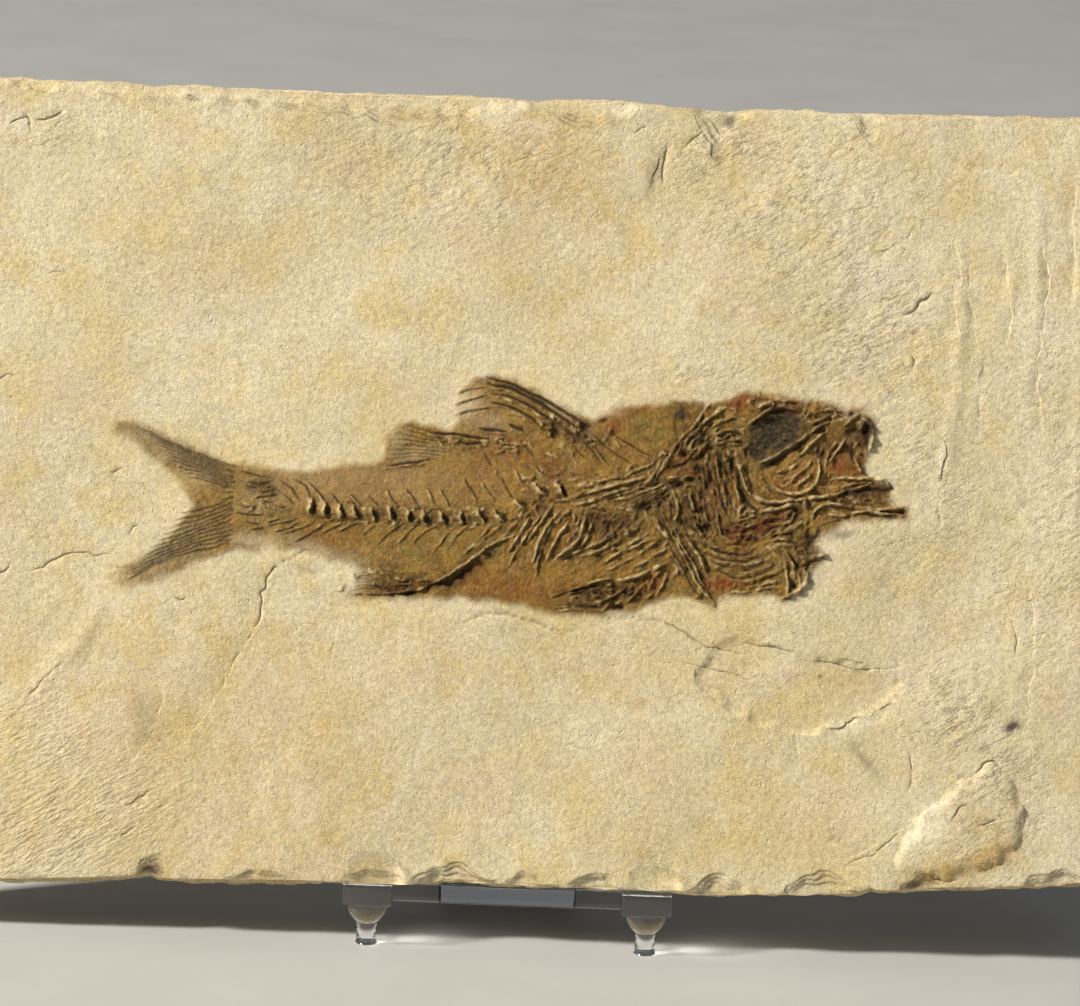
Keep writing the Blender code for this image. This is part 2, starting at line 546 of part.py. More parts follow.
def slab_mesh():
    """The stone: its face, four chipped rings of thin beds round its edge, and its split back."""
    outline = dense_outline(counter_clockwise(SLAB_OUTLINE), RIM_STEP)
    lines = tented_lines(FACE_LINES)
    for bed, _, strip in FACE_BEDS:
        ring = counter_clockwise(bed)
        inner = tuple(grown_outline(ring, -strip))
        lines += [ring + ring[:1], inner + inner[:1]]
    for line, _, width in CHIPS:
        lines += [line, tuple(side_line(line, math.copysign(width * 0.5, -line[0][1])))]
    fish = counter_clockwise(FISH_OUTLINE)
    grid = hex_grid(outline, FACE_GRID, FACE_GRID * GRID_CLEAR)
    loose = [spot for spot in grid if not inside(spot, fish)]
    corners, faces = triangulate(outline, loose, lines, MERGE)
    mesh = sheet_mesh(corners, faces, face_rise)
    ring = rim_loop(mesh)
    flat = [tuple(vert.co.xy) for vert in ring]
    chance = random.Random(7)
    upper = ring
    for depth, stand_out in BED_LAYERS + ((-THICKNESS, -BACK_EDGE_INSET),):
        spread = [stand_out + chance.uniform(-RIM_ROUGHNESS, RIM_ROUGHNESS) for _ in flat]
        away = [Vector(out) - Vector(spot) for out, spot in zip(grown_outline(flat, 1.0), flat)]
        places = [above_shelf(spot[0] + step.x * grow, spot[1] + step.y * grow,
                              depth + chance.uniform(-BED_ROUGHNESS, BED_ROUGHNESS))
                  for spot, step, grow in zip(flat, away, spread)]
        if depth == -THICKNESS:
            places = [(u, v, -THICKNESS) for u, v, _ in places]
        lower = [mesh.verts.new(place) for place in places]
        add_wall(mesh, upper, lower)
        upper = lower
    back = [tuple(vert.co.xy) for vert in upper]
    inner = hex_grid(back, BACK_GRID, BACK_GRID * GRID_CLEAR)
    corners, faces = triangulate(back, inner, BACK_LEDGES, 0.0)
    rim = {index: vert for index, vert in enumerate(upper)}
    for index, corner in enumerate(corners[len(back):], len(back)):
        spot = tuple(corner)
        split = sum(rise for ledge, rise in zip(BACK_LEDGES, BACK_RISES) if inside(spot, ledge))
        rim[index] = mesh.verts.new((*spot, -THICKNESS + BACK_ROUGHNESS * chance.random() + split))
    for face in faces:
        loop = [rim[index] for index in face]
        upward = (loop[1].co - loop[0].co).cross(loop[2].co - loop[0].co).z > 0
        mesh.faces.new(reversed(loop) if upward else loop)
    return mesh


def bed_cutter():
    """A prism of the fish's outline, a gap wider, down to the floor of its bed."""
    ring = grown_outline(counter_clockwise(FISH_OUTLINE), GAP)
    mesh = bmesh.new()
    upper = [mesh.verts.new((*spot, CUTTER_TOP)) for spot in ring]
    lower = [mesh.verts.new((*spot, -BED_DEPTH)) for spot in ring]
    add_wall(mesh, upper, lower)
    mesh.faces.new(upper)
    mesh.faces.new(list(reversed(lower)))
    bmesh.ops.triangulate(mesh, faces=mesh.faces[:])
    return new_cutter("fish_bed_cutter", mesh)


def vertebra_rings():
    """Centre and turned oval of each vertebra along the backbone."""
    rings = []
    spots = [Vector(spot) for spot in BACKBONE]
    turns = [math.tau * (side + 0.5) / VERTEBRA_SIDES for side in range(VERTEBRA_SIDES)]
    travel, wanted = 0.0, FIRST_VERTEBRA
    for start, end in zip(spots, spots[1:]):
        span = (end - start).length
        along = (end - start) / span
        while wanted < travel + span:
            centre = start + along * (wanted - travel)
            across = Vector((-along.y, along.x))
            ring = [tuple(centre + along * VERTEBRA_HALF[0] * math.cos(turn)
                          + across * VERTEBRA_HALF[1] * math.sin(turn))
                    for turn in turns]
            rings.append((tuple(centre), tuple(ring)))
            wanted += VERTEBRA_PITCH
        travel += span
    return rings


def fish_mesh():
    """The fossil as one plate: a thin stained skin with every bone raised on it."""
    outline = counter_clockwise(FISH_OUTLINE)
    strokes = bones()
    vertebrae = vertebra_rings()
    lines = tented_lines(strokes)
    for centre, ring in vertebrae:
        lines.append(ring + ring[:1])
        core = tuple(tuple(Vector(centre).lerp(Vector(spot), VERTEBRA_CORE)) for spot in ring[::2])
        lines.append(core + core[:1])
    orbit_ring = counter_clockwise(ORBIT[0])
    lines += [orbit_ring + orbit_ring[:1], tuple(grown_outline(orbit_ring, -ORBIT[2]))]
    lines = [tuple(spot for spot in line if inside(spot, outline)) for line in lines]
    corners, faces = triangulate(outline, (), [line for line in lines if line], MERGE)

    def rise(point):
        spot = Vector(point)
        film = min(SKIN, SKIN_SLOPE * edge_distance(point, outline))
        height = face_rise(point) + film + bed_rise(point, ORBIT)
        bone = max(line_rise(spot, stroke) for stroke in strokes)
        for centre, ring in vertebrae:
            if (spot - Vector(centre)).length < VERTEBRA_PITCH and inside(point, ring):
                bone = max(bone, VERTEBRA_RISE * min(1.0, edge_distance(point, ring) / VERTEBRA_SLOPE))
        return height + bone

    mesh = sheet_mesh(corners, faces, rise)
    ring = rim_loop(mesh)
    lower = [mesh.verts.new((vert.co.x, vert.co.y, GAP - BED_DEPTH)) for vert in ring]
    add_wall(mesh, ring, lower)
    close_bottom(mesh, lower)
    return mesh


def prism(profile, half_width, rounding=0.0):
    """A (back, up) profile drawn out sideways by a width, as a bmesh in (x, y, z) with softened edges."""
    mesh = bmesh.new()
    ends = [[mesh.verts.new((side, back, up)) for back, up in profile]
            for side in (-half_width, half_width)]
    for number in range(len(profile)):
        mesh.faces.new((ends[0][number - 1], ends[0][number], ends[1][number], ends[1][number - 1]))
    for end in ends:
        mesh.faces.new(end)
    bmesh.ops.recalc_face_normals(mesh, faces=mesh.faces[:])
    if rounding:
        bmesh.ops.bevel(mesh, geom=mesh.edges[:], offset=rounding, segments=2, profile=0.5, affect="EDGES")
    return mesh


def round_top(mesh, radius, segments):
    """Rounds the two top corners of an upright plate, as seen from the front."""
    top = max(vert.co.z for vert in mesh.verts) - PLATE / 2
    corners = [edge for edge in mesh.edges
               if all(vert.co.z > top for vert in edge.verts)
               and edge.verts[0].co.x == edge.verts[1].co.x]
    bmesh.ops.bevel(mesh, geom=corners, offset=radius, segments=segments, profile=0.5, affect="EDGES")


def lean_profile(back, up):
    """A point given along the shelf and up the backrest, as world (back, up)."""
    return (back * math.cos(LEAN) + up * math.sin(LEAN),
            SHELF_HEIGHT + up * math.cos(LEAN) - back * math.sin(LEAN))


def arm_mesh(centre):
    """A shelf arm with its upturned lip, whose top corners are round."""
    front, rear = -GAP - LIP, CROSSBAR[1] - 1.0
    profile = [lean_profile(*spot) for spot in (
        (front, -PLATE), (front, LIP_RISE), (-GAP, LIP_RISE), (-GAP, 0.0), (rear, 0.0), (rear, -PLATE))]
    mesh = prism(profile, ARM_WIDTH / 2)
    round_top(mesh, LIP_ROUNDING, 4)
    bmesh.ops.translate(mesh, verts=mesh.verts[:], vec=(centre, 0, 0))
    return mesh


def backrest_mesh():
    """The upright plate, and the tongue that runs back from it and down to a flat rear foot."""
    rest = THICKNESS + GAP
    reach = (SHELF_HEIGHT - PLATE * math.cos(LEAN)) / math.sin(LEAN)
    top_reach = (SHELF_HEIGHT - PLATE) / math.sin(LEAN)
    rear = rest + BACKREST_THICK
    front = rest - BARE_TONGUE
    profile = [lean_profile(front, -PLATE), lean_profile(reach, -PLATE),
               (FOOT_REAR - FOOT_CHAMFER, 0.0), (FOOT_REAR, FOOT_CHAMFER),
               (FOOT_REAR, PLATE - FOOT_CHAMFER), (FOOT_REAR - FOOT_CHAMFER, PLATE),
               lean_profile(top_reach, 0.0), lean_profile(rear + FILLET, 0.0),
               lean_profile(rear, FILLET), lean_profile(rear, BACKREST),
               lean_profile(rest, BACKREST), lean_profile(rest, 0.0), lean_profile(front, 0.0)]
    mesh = prism(profile, SPINE_WIDTH / 2)
    round_top(mesh, BACKREST_ROUNDING, 6)
    return mesh


def crossbar_mesh():
    """The bar that joins the two arms and the tongue, just inside their faces."""
    front, rear = CROSSBAR
    profile = [lean_profile(*spot) for spot in (
        (front, WELD - PLATE), (front, -WELD), (rear, -WELD), (rear, WELD - PLATE))]
    return prism(profile, ARM_U + ARM_WIDTH / 2 - BAR_INSET, BAR_ROUNDING)


def foot_mesh(centre):
    """A domed boss with a short peg, turned round a vertical axis."""
    shoulder = math.acos(PEG_RADIUS / DOME_RADIUS)
    profile = [(0.0, DOME_Z + BOSS_HEIGHT), (DOME_RADIUS, DOME_Z + BOSS_HEIGHT)]
    profile += [(DOME_RADIUS * math.cos(turn), DOME_Z - DOME_RADIUS * math.sin(turn))
                for turn in (shoulder * part / DOME_STEPS for part in range(DOME_STEPS + 1))]
    profile += [(PEG_RADIUS, PEG_FLARE[1]), (PEG_RADIUS + PEG_FLARE[0], 0.0), (0.0, 0.0)]
    mesh = bmesh.new()
    rings = []
    for radius, height in profile:
        sides = 1 if radius == 0.0 else PEG_SIDES
        rings.append([mesh.verts.new((centre + radius * math.cos(math.tau * side / PEG_SIDES),
                                      PEG_Y + radius * math.sin(math.tau * side / PEG_SIDES), height))
                      for side in range(sides)])
    for upper, lower in zip(rings, rings[1:]):
        for side in range(PEG_SIDES):
            quad = [upper[side % len(upper)], upper[(side + 1) % len(upper)],
                    lower[(side + 1) % len(lower)], lower[side % len(lower)]]
            mesh.faces.new(list(dict.fromkeys(quad)))
    bmesh.ops.recalc_face_normals(mesh, faces=mesh.faces[:])
    return mesh


def scale_to_metres(item):
    item.data.transform(Matrix.Scale(MM, 4))


def make_easel(finish):
    """One clear moulding, united from its backrest, crossbar, two arms and two feet."""
    easel = new_object("display_stand", backrest_mesh(), finish)
    scale_to_metres(easel)
    parts = [("crossbar_blank", crossbar_mesh())]
    for side, word in ((-1, "left"), (1, "right")):
        centre = side * ARM_U
        parts += [(f"{word}_arm_blank", arm_mesh(centre)), (f"{word}_foot_blank", foot_mesh(centre))]
    for name, mesh in parts:
        blank = new_cutter(name, mesh)
        scale_to_metres(blank)
        combine(easel, blank, "UNION")
        blank.parent = easel
    return easel


def lay_on_shelf(item, lean):
    """Turns a piece of the slab on its face and stands it over the easel's middle."""
    scale_to_metres(item)
    item.rotation_euler.z = SLAB_TURN
    item.location = Matrix.Rotation(SLAB_TURN, 3, "Z") @ Vector((-SHELF_U, -SHELF_V, 0)) * MM
    item.parent = lean


def make_stone(lean, finish):
    slab = new_object("limestone_slab", slab_mesh(), finish)
    cutter = bed_cutter()
    combine(slab, cutter, "DIFFERENCE")
    for item in (slab, cutter):
        lay_on_shelf(item, lean)
    return slab


def make_fish(lean, finish):
    fish = new_object("fossil_fish", fish_mesh(), finish)
    lay_on_shelf(fish, lean)
    return fish


def centre_over_origin(items, holders):
    """Shifts the whole object so that its box stands centred on the origin."""
    bpy.context.view_layer.update()
    graph = bpy.context.evaluated_depsgraph_get()
    places = [item.matrix_world @ vert.co
              for item in items for vert in item.evaluated_get(graph).data.vertices]
    for axis in (0, 1):
        values = [place[axis] for place in places]
        for holder in holders:
            holder.location[axis] -= (min(values) + max(values)) / 2


def main():
    for item in list(bpy.data.objects):
        bpy.data.objects.remove(item, do_unlink=True)
    limestone = material("limestone", (0.70, 0.59, 0.36), 0.85)
    fossil = material("fossil_bone", (0.27, 0.15, 0.05), 0.6)
    acrylic = material("clear_acrylic", (0.93, 0.95, 0.95), 0.06, alpha=0.35, transmission=1.0)
    lean = bpy.data.objects.new("leaning_face", None)
    bpy.context.collection.objects.link(lean)
    lean.location.z = SHELF_HEIGHT * MM
    lean.rotation_euler.x = math.pi / 2 - LEAN
    slab = make_stone(lean, limestone)
    fish = make_fish(lean, fossil)
    easel = make_easel(acrylic)
    centre_over_origin((slab, fish, easel), (lean, easel))


main()
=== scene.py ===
"""Looks of the fossil fish slab: split limestone, a petrified fish in low relief and a clear easel.

The slab's face has its own axes: u to the right, v up the face and w out of it, in millimetres.
Relief and stains are worked out there from listed lines and patches. The face is then leaned
back over the easel.
"""

import math

import bmesh
import bpy
import numpy as np
from mathutils import Matrix, Vector
from mathutils.geometry import delaunay_2d_cdt


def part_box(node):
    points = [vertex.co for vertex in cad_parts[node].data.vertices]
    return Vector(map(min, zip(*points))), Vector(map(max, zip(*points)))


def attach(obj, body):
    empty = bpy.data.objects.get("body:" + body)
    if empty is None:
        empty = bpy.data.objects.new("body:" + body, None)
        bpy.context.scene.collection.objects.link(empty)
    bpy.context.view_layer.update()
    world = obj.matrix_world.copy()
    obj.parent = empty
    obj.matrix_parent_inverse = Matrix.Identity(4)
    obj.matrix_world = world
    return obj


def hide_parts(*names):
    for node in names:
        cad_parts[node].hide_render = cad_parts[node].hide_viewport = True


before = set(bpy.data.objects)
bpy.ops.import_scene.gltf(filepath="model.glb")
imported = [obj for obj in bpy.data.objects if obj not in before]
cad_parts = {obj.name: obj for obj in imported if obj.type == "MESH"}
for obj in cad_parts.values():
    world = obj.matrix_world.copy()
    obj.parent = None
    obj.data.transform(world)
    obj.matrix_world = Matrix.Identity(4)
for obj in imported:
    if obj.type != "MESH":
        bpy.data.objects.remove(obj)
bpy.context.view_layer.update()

MM = 0.001
LEAN = math.radians(12.0)
SHELF_U = 1.2                   # the face's place over the easel's middle, on its shelf
SHELF_V = -49.67
SLAB_TURN = math.radians(0.87)
SHELF_HEIGHT = 7.55
FOOT_REAR = 36.0
THICKNESS = 12.0

# Spacing of the modelled surface
FACE_STEP = 0.51
RIM_STEP = 0.55
LINE_STEP = 0.36
LINE_ROWS = (0.0, 0.11, -0.11, 0.27, -0.27)
FISH_STEP = 0.16
MARGIN_STEP = 0.34
LOOP_STEP = 0.3
BED_STEP = 2.4
BACK_STEP = 1.7
GRID_STEP = 0.13
GRID_LOW = (-53.6, -18.4)
GRID_HIGH = (53.6, 18.2)
FLOW_STEP = 0.6
FLOW_REACH = 1.3
BED_FLOOR = -1.3
FISH_UNDERSIDE = -1.0

# Camera
ROLL = math.radians(1.4)
VIEW_CENTRE = (4.09, -1.15)     # the face's point in the middle of the view
VIEW_WIDTH = 135.0
VIEW_DISTANCE = 900.0
SENSOR = 36.0

# Easel
GAP = 0.3
PLATE = 2.5
ARM_U = 17.45
ARM_WIDTH = 6.2
LIP = 2.0
LIP_RISE = 4.3
SPINE_WIDTH = 17.4
BACKREST = 58.0
BACKREST_THICK = 2.3
CROSSBAR = (8.6, 16.4)
DOME_RADIUS = 2.45
DOME_Z = 4.9
PEG_RADIUS = 1.25
PEG_Y = 0.3
EDGE_ROUNDING = 0.28

# Colours of the stone, the fossil and the floor
STONE_CREAM = (0.735, 0.64, 0.435)
STONE_SAND = (0.66, 0.555, 0.325)
STONE_YELLOW = (0.66, 0.52, 0.23)
STONE_PINK = (0.70, 0.57, 0.39)
STONE_GREY = (0.60, 0.53, 0.37)
STONE_TAN = (0.56, 0.42, 0.22)
STONE_OCHRE = (0.54, 0.355, 0.11)
STONE_CHALK = (0.84, 0.76, 0.57)
STONE_SPECK = (0.40, 0.30, 0.16)
STONE_BROWN = (0.10, 0.065, 0.045)
# Dirt in cracks, and painted shade along the cracks and the stepped edges of flakes and chips
STONE_CRACK_DIRT_AND_SHADE = (0.20, 0.145, 0.08)
FILM_BROWN = (0.19, 0.1, 0.022)
FILM_TAN = (0.30, 0.175, 0.03)
FILM_PALE = (0.39, 0.26, 0.075)
FILM_OLIVE = (0.215, 0.155, 0.036)
FILM_OCHRE = (0.40, 0.2, 0.04)
FILM_UMBER = (0.062, 0.028, 0.008)
FILM_RUST = (0.205, 0.052, 0.009)
FILM_ASH = (0.022, 0.017, 0.01)
FILM_SMOKE = (0.11, 0.08, 0.038)
FILM_DARK = (0.09, 0.045, 0.014)
BONE_DARK = (0.10, 0.055, 0.02)
BONE_TAN = (0.30, 0.19, 0.062)
BONE_CREAM = (0.60, 0.47, 0.24)
# Dark colour of dirt and of painted shade in the fossil's hollows, furrows and pits and on the
# lower-right sides of its bones
CREVICE_DIRT_AND_SHADE = (0.024, 0.011, 0.004)
FLOOR_LIGHT = (0.50, 0.50, 0.485)
FLOOR_DEEP = (0.47, 0.47, 0.455)

# Lights: direction along the face's axes, distance, size, power, colour
KEY = (-0.72, 0.52, 0.46, 3.0, 0.4, 153.0, (1.0, 0.955, 0.88))
FILL = (0.3, 0.6, 0.75, 1.6, 0.9, 1.0, (0.9, 0.95, 1.0))
SKY = (0.93, 0.96, 1.0)
SKY_STRENGTH = 0.13

# Floor, in metres: its gap keeps the easel's feet from lying in its plane
FLOOR_SIZE = 8.0
FLOOR_GAP = 0.00006

# Finishes
STONE_ROUGHNESS = 0.86
STONE_SPECULAR = 0.15
FLOOR_ROUGHNESS = 0.62
ACRYLIC_TINT = (0.985, 0.992, 0.99, 1.0)
ACRYLIC_IOR = 1.49
ACRYLIC_SHADOW = 0.3            # how much of the light its shadow holds back
CREASE_SLAB, CREASE_FISH, CREASE_EASEL = 50, 75, 38

# Table size and offset of the noise over the face
NOISE_CELLS = 128
NOISE_SHIFT = (512.3, 512.7)

# Chips of the rim: how far each thin bed reaches, the split of their depth, and their open ends
CHIP_SHARES = (1.0, 0.68, 0.4)
CHIP_SPLIT = 2.4
CHIP_BEYOND = 60.0
CHIP_FLARE = 12.0

# Side of the slab: beds' lower faces, half the seam between two, how far the side stands out
BEDS = (0.5, 1.3, 2.2, 3.1, 4.2, 5.4, 6.2, 7.3, 8.2, 9.3, 10.4, 11.2, 12.0)
SEAM = 0.07
SIDE_PROFILE = ((0.0, 0.0), (2.6, 0.5), (4.4, -0.5), (7.3, 0.7), (9.6, -0.3), (12.0, -0.6))

SLAB_OUTLINE = (
    (-76.3, -42), (-75.2, -47.6), (-73, -49.5), (-62.2, -49.7), (-52, -49.3), (-46, -48.9),
    (-43.4, -48.5), (-41, -49.1), (-25.4, -49), (-10, -48.9), (-6, -48.5), (0, -48.7), (8, -48.8),
    (14, -48.9), (25, -49.3), (38, -49.1), (45.4, -48.6), (46.7, -48.2), (48, -48.5), (55, -48),
    (66, -47.5), (73.6, -46.6), (75.4, -43.5), (76.1, -35), (75, -22), (75.8, -8), (74.8, 6),
    (76, 18), (75.2, 33), (75.6, 44), (73.4, 47.6), (66, 48.2), (45, 48.1), (31, 48.4), (27, 47.9),
    (20, 48.4), (16.5, 48.6), (10, 48.95), (2.5, 48.8), (-3, 49.1), (-20, 49.1), (-45, 49.6),
    (-66, 49.9), (-74, 49.2), (-76, 45), (-75.1, 31), (-76.4, 15), (-75.4, 2), (-76.2, -12),
    (-75, -28))

# Stretches of the rim where thin beds have chipped away: the line on the face, how deep
CHIPS = (
    (((-62, 48.9), (-40, 48), (-22, 47), (-13, 45.6), (-8, 46.2), (-2, 47.6), (1, 48.4)), 0.55),
    (((2, 48), (6, 46.6), (9, 46), (13, 47), (15, 48)), 0.5),
    (((22, 48), (23.6, 45.6), (25, 42.4), (27.2, 45.2), (29, 47.6)), 0.5),
    (((42.4, 47.6), (43.6, 45), (44.8, 44.8), (45.4, 47.4)), 0.4),
    (((-45.4, -48.4), (-44.6, -46.8), (-42.8, -46.2), (-41.8, -47.4), (-40.8, -48.6)), 0.45),
    (((-34, -48.7), (-30, -47.9), (-26, -48.5)), 0.4),
    (((-19.5, -48.7), (-17, -47.6), (-14.6, -47.4), (-12.4, -48.6)), 0.4),
    (((-10.6, -48.5), (-8, -47), (-5, -46.6), (-2.6, -47.9), (0, -48.4)), 0.65),
    (((1, -48.3), (3.4, -47.4), (5.6, -48.4)), 0.4),
    (((9, -48.4), (11.6, -47.3), (13.6, -47.4), (15.2, -48.6)), 0.55),
    (((24, -49), (26.2, -47.3), (28.6, -47), (31, -48.9)), 0.55),
    (((36, -48.8), (38, -47), (41.6, -46.6), (44.6, -48.2)), 0.55),
    (((50.4, -47.9), (52.6, -46.6), (55.6, -47.6)), 0.5),
    (((66, -47.2), (68.4, -45.6), (71, -45.7), (73.4, -46.6)), 0.55))

# Low swells of the face: points, half width, rise
SWELLS = (
    (((55.6, 34), (56.2, 24), (55.6, 12), (54.4, 3), (54, -6)), 1.6, 0.26),
    (((61.6, 36), (62.4, 27), (61.8, 21)), 1.3, 0.2),
    (((65.4, 40), (65.8, 26), (64.6, 14)), 1.3, 0.22),
    (((70.6, 38), (71.2, 14), (70.6, -10)), 1.2, 0.2),
    (((-62, -25.8), (-56, -23.4), (-50, -14)), 2.2, 0.35))

# Beds that stand proud of the face, or lie sunk below it: outline, rise, width of the edge
FACE_BEDS = (
    (((49.4, -46), (50.6, -41.4), (53.6, -38), (57.6, -34.4), (61.4, -33), (64.4, -34.8),
     (65.6, -38.6), (65, -42.6), (62.4, -45), (58.4, -46.6), (53.6, -47)), 0.55, 1.3),
    (((27.6, -17), (36, -18.4), (46.6, -20.6), (50.4, -23.4), (46.6, -26.4), (38.6, -29.4),
     (31.4, -28.2), (24, -23)), -0.35, 1.2))

# Beds split away from the back, clear of the backrest: outline and depth
BACK_LEDGES = (
    ((-70, 44), (-52, 45), (-40, 38), (-30, 41), (-24, 30), (-38, 22), (-44, 6), (-58, 2),
     (-70, 10), (-70, 44)),
    ((20, -6), (32, -2), (46, -9), (62, -6), (70, -18), (68, -40), (50, -42), (34, -36), (22, -22),
     (20, -6)))
BACK_RISES = (1.1, 0.9)

# Thin cracks of the face: points, half width, depth
CRACKS = (
    (((-60.3, 45.1), (-58.9, 45.2), (-58, 45.6), (-56.6, 46.3)), 0.2, 0.3),
    (((-61.6, 46), (-61, 45.2), (-60.6, 44)), 0.14, 0.2),
    (((-63.4, 44.4), (-62.2, 45.4), (-60.8, 45.3)), 0.14, 0.2),
    (((-59.6, -11.3), (-57.8, -10.7), (-56.4, -9.6), (-54.2, -8.9), (-52.4, -8.6), (-51.2, -9),
     (-49.3, -8.8)), 0.15, 0.22),
    (((-49.3, 1.2), (-48.9, 1.6), (-48.5, 1.8)), 0.16, 0.25),
    (((-47, -6.2), (-46.6, -5.5), (-45.8, -5.3)), 0.13, 0.2),
    (((-49, -10.2), (-48.2, -10.5), (-47, -10.5)), 0.12, 0.15),
    (((-41.3, -14), (-40.6, -14.4), (-39.9, -14.1)), 0.15, 0.25),
    (((-24.4, -7.9), (-25.5, -8), (-26.5, -8.7), (-28, -9.3), (-28.9, -10), (-29.9, -11.6),
     (-30, -12.6), (-30.6, -13.4), (-30.2, -14.4), (-30.6, -15.6), (-30.5, -17),
     (-31.2, -17.5)), 0.15, 0.24),
    (((-31.2, -17.5), (-32.4, -20), (-34, -22.5), (-35, -25)), 0.12, 0.12),
    (((-63.5, -11.7), (-62.7, -11.4), (-62, -10.6)), 0.14, 0.2),
    (((-63.8, -26.2), (-63.1, -25.6), (-62.4, -25.4)), 0.14, 0.2),
    (((-59.4, -27), (-57.2, -24.4), (-55, -22.3)), 0.12, 0.14),
    (((-46.6, -40.2), (-45.4, -39.5), (-44.2, -38.5)), 0.14, 0.2),
    (((-47.5, -44), (-46.5, -43.6), (-45.6, -43)), 0.14, 0.2),
    (((21.3, 44), (22.4, 45), (23.2, 45.6)), 0.14, 0.2),
    (((18.9, 43.5), (18.5, 41.6), (18.4, 39.5)), 0.2, 0.25),
    (((1, 42.3), (1.8, 42.4), (2.5, 42.2)), 0.13, 0.15),
    (((0.2, 41.5), (1.8, 42), (3.4, 42.6)), 0.1, 0.1),
    (((15, 45.5), (15.7, 46), (16.4, 46.2)), 0.13, 0.15),
    (((49, 23.5), (50.4, 24.1), (51.2, 25.2), (52.4, 26)), 0.24, 0.34),
    (((49.8, 21.2), (50.6, 21), (51.2, 21.4)), 0.16, 0.22),
    (((50, 18.5), (50.6, 17.9), (50.3, 17)), 0.16, 0.22),
    (((56.6, -39.5), (57.2, -38.2), (58.2, -37.4)), 0.15, 0.25),
    (((60, -40), (61, -39.9), (62, -39.4)), 0.15, 0.25),
    (((59.5, -33.6), (60.4, -32.4), (61.4, -32), (62.8, -33)), 0.2, 0.3),
    (((53.4, -46.3), (55, -47), (57.4, -47.2)), 0.16, 0.22),
    (((38.6, -20), (41.2, -20.3), (44, -21), (46.4, -20.9), (48.5, -20.6)), 0.13, 0.18),
    (((30, -18.2), (33, -18.4), (36, -19)), 0.12, 0.16),
    (((-4.9, -16.2), (-2.6, -15.2), (-0.4, -15), (3, -15.8), (6.6, -17), (9.6, -17.2)), 0.18, 0.24),
    (((13, -15.4), (17, -15.2), (21.4, -16.2), (25, -18.4), (30, -19.4)), 0.15, 0.2),
    (((22.4, -20.6), (26, -21.4), (31, -22.6)), 0.13, 0.16),
    (((50.8, -31), (51.4, -33.4), (51, -36.2)), 0.12, 0.15),
    (((63.4, -14.4), (64, -16.6), (63.8, -18.6)), 0.12, 0.15),
    (((43.2, -45.6), (45.2, -44.6), (47, -44), (50, -41.2)), 0.12, 0.16),
    (((-64, 12.6), (-62.6, 13.4), (-61.6, 13.2)), 0.14, 0.16),
    (((-58.2, 25.8), (-57.2, 26.4), (-56.4, 26.2)), 0.1, 0.12))

# Edges of thin flakes: points, drop to the right of the line as it runs, how far the drop fades
LEDGES = (
    (((38.6, -29.3), (41, -28.4), (43.5, -27.4), (46.6, -26), (49.6, -24.6)), 0.22, 2.4),
    (((36.4, -28.4), (37.2, -31.6), (36.8, -35)), 0.12, 1.6),
    (((43, -45), (46.4, -43.3), (50, -41), (53, -38)), -0.16, 1.8),
    (((-31, -17.6), (-32.6, -20.4), (-34.4, -23.4), (-36.4, -28), (-40.6, -33)), 0.14, 3),
    (((-42.8, -24), (-42.6, -28), (-44.4, -32.6), (-47.2, -36.6)), 0.1, 2.2),
    (((55, 34), (55.8, 29), (55.4, 24), (56.4, 19.4)), 0.2, 1.2),
    (((57.4, 31), (57.2, 26.6), (58, 21.6)), 0.2, 1),
    (((61.3, 33.6), (61.6, 29.5), (62.4, 25.4), (62.3, 19)), 0.24, 1.4),
    (((58.8, 18), (58.5, 12.6), (58.6, 8)), -0.18, 0.8),
    (((54.6, 9.4), (54.4, 5.6), (53.9, 1.6), (54.2, -3)), -0.2, 1),
    (((66.4, 36), (66.8, 27), (66, 18), (66.6, 9)), 0.24, 1.6),
    (((70.4, 40.6), (69.8, 36), (70.4, 31), (69.6, 24)), 0.2, 1.4),
    (((65.6, -8), (66.4, -16), (65.8, -24), (66.6, -30)), 0.16, 1.6),
    (((44.8, 31), (47.6, 32.4), (50, 34.6)), 0.12, 1.4),
    (((40.6, 36), (43.4, 36.6), (45.4, 38.6)), 0.12, 1.2),
    (((33, 30.6), (36, 31.4), (38.6, 34)), 0.1, 1.2),
    (((44, 12), (47.4, 13), (50, 15.2)), 0.14, 1.4),
    (((-2, 45.4), (-4.4, 46.4), (-6.8, 46.6), (-9.6, 45.8)), 0.12, 1.2),
    (((16.4, 37.6), (17, 40), (18.2, 42.6), (18, 44.4)), 0.2, 1.4))

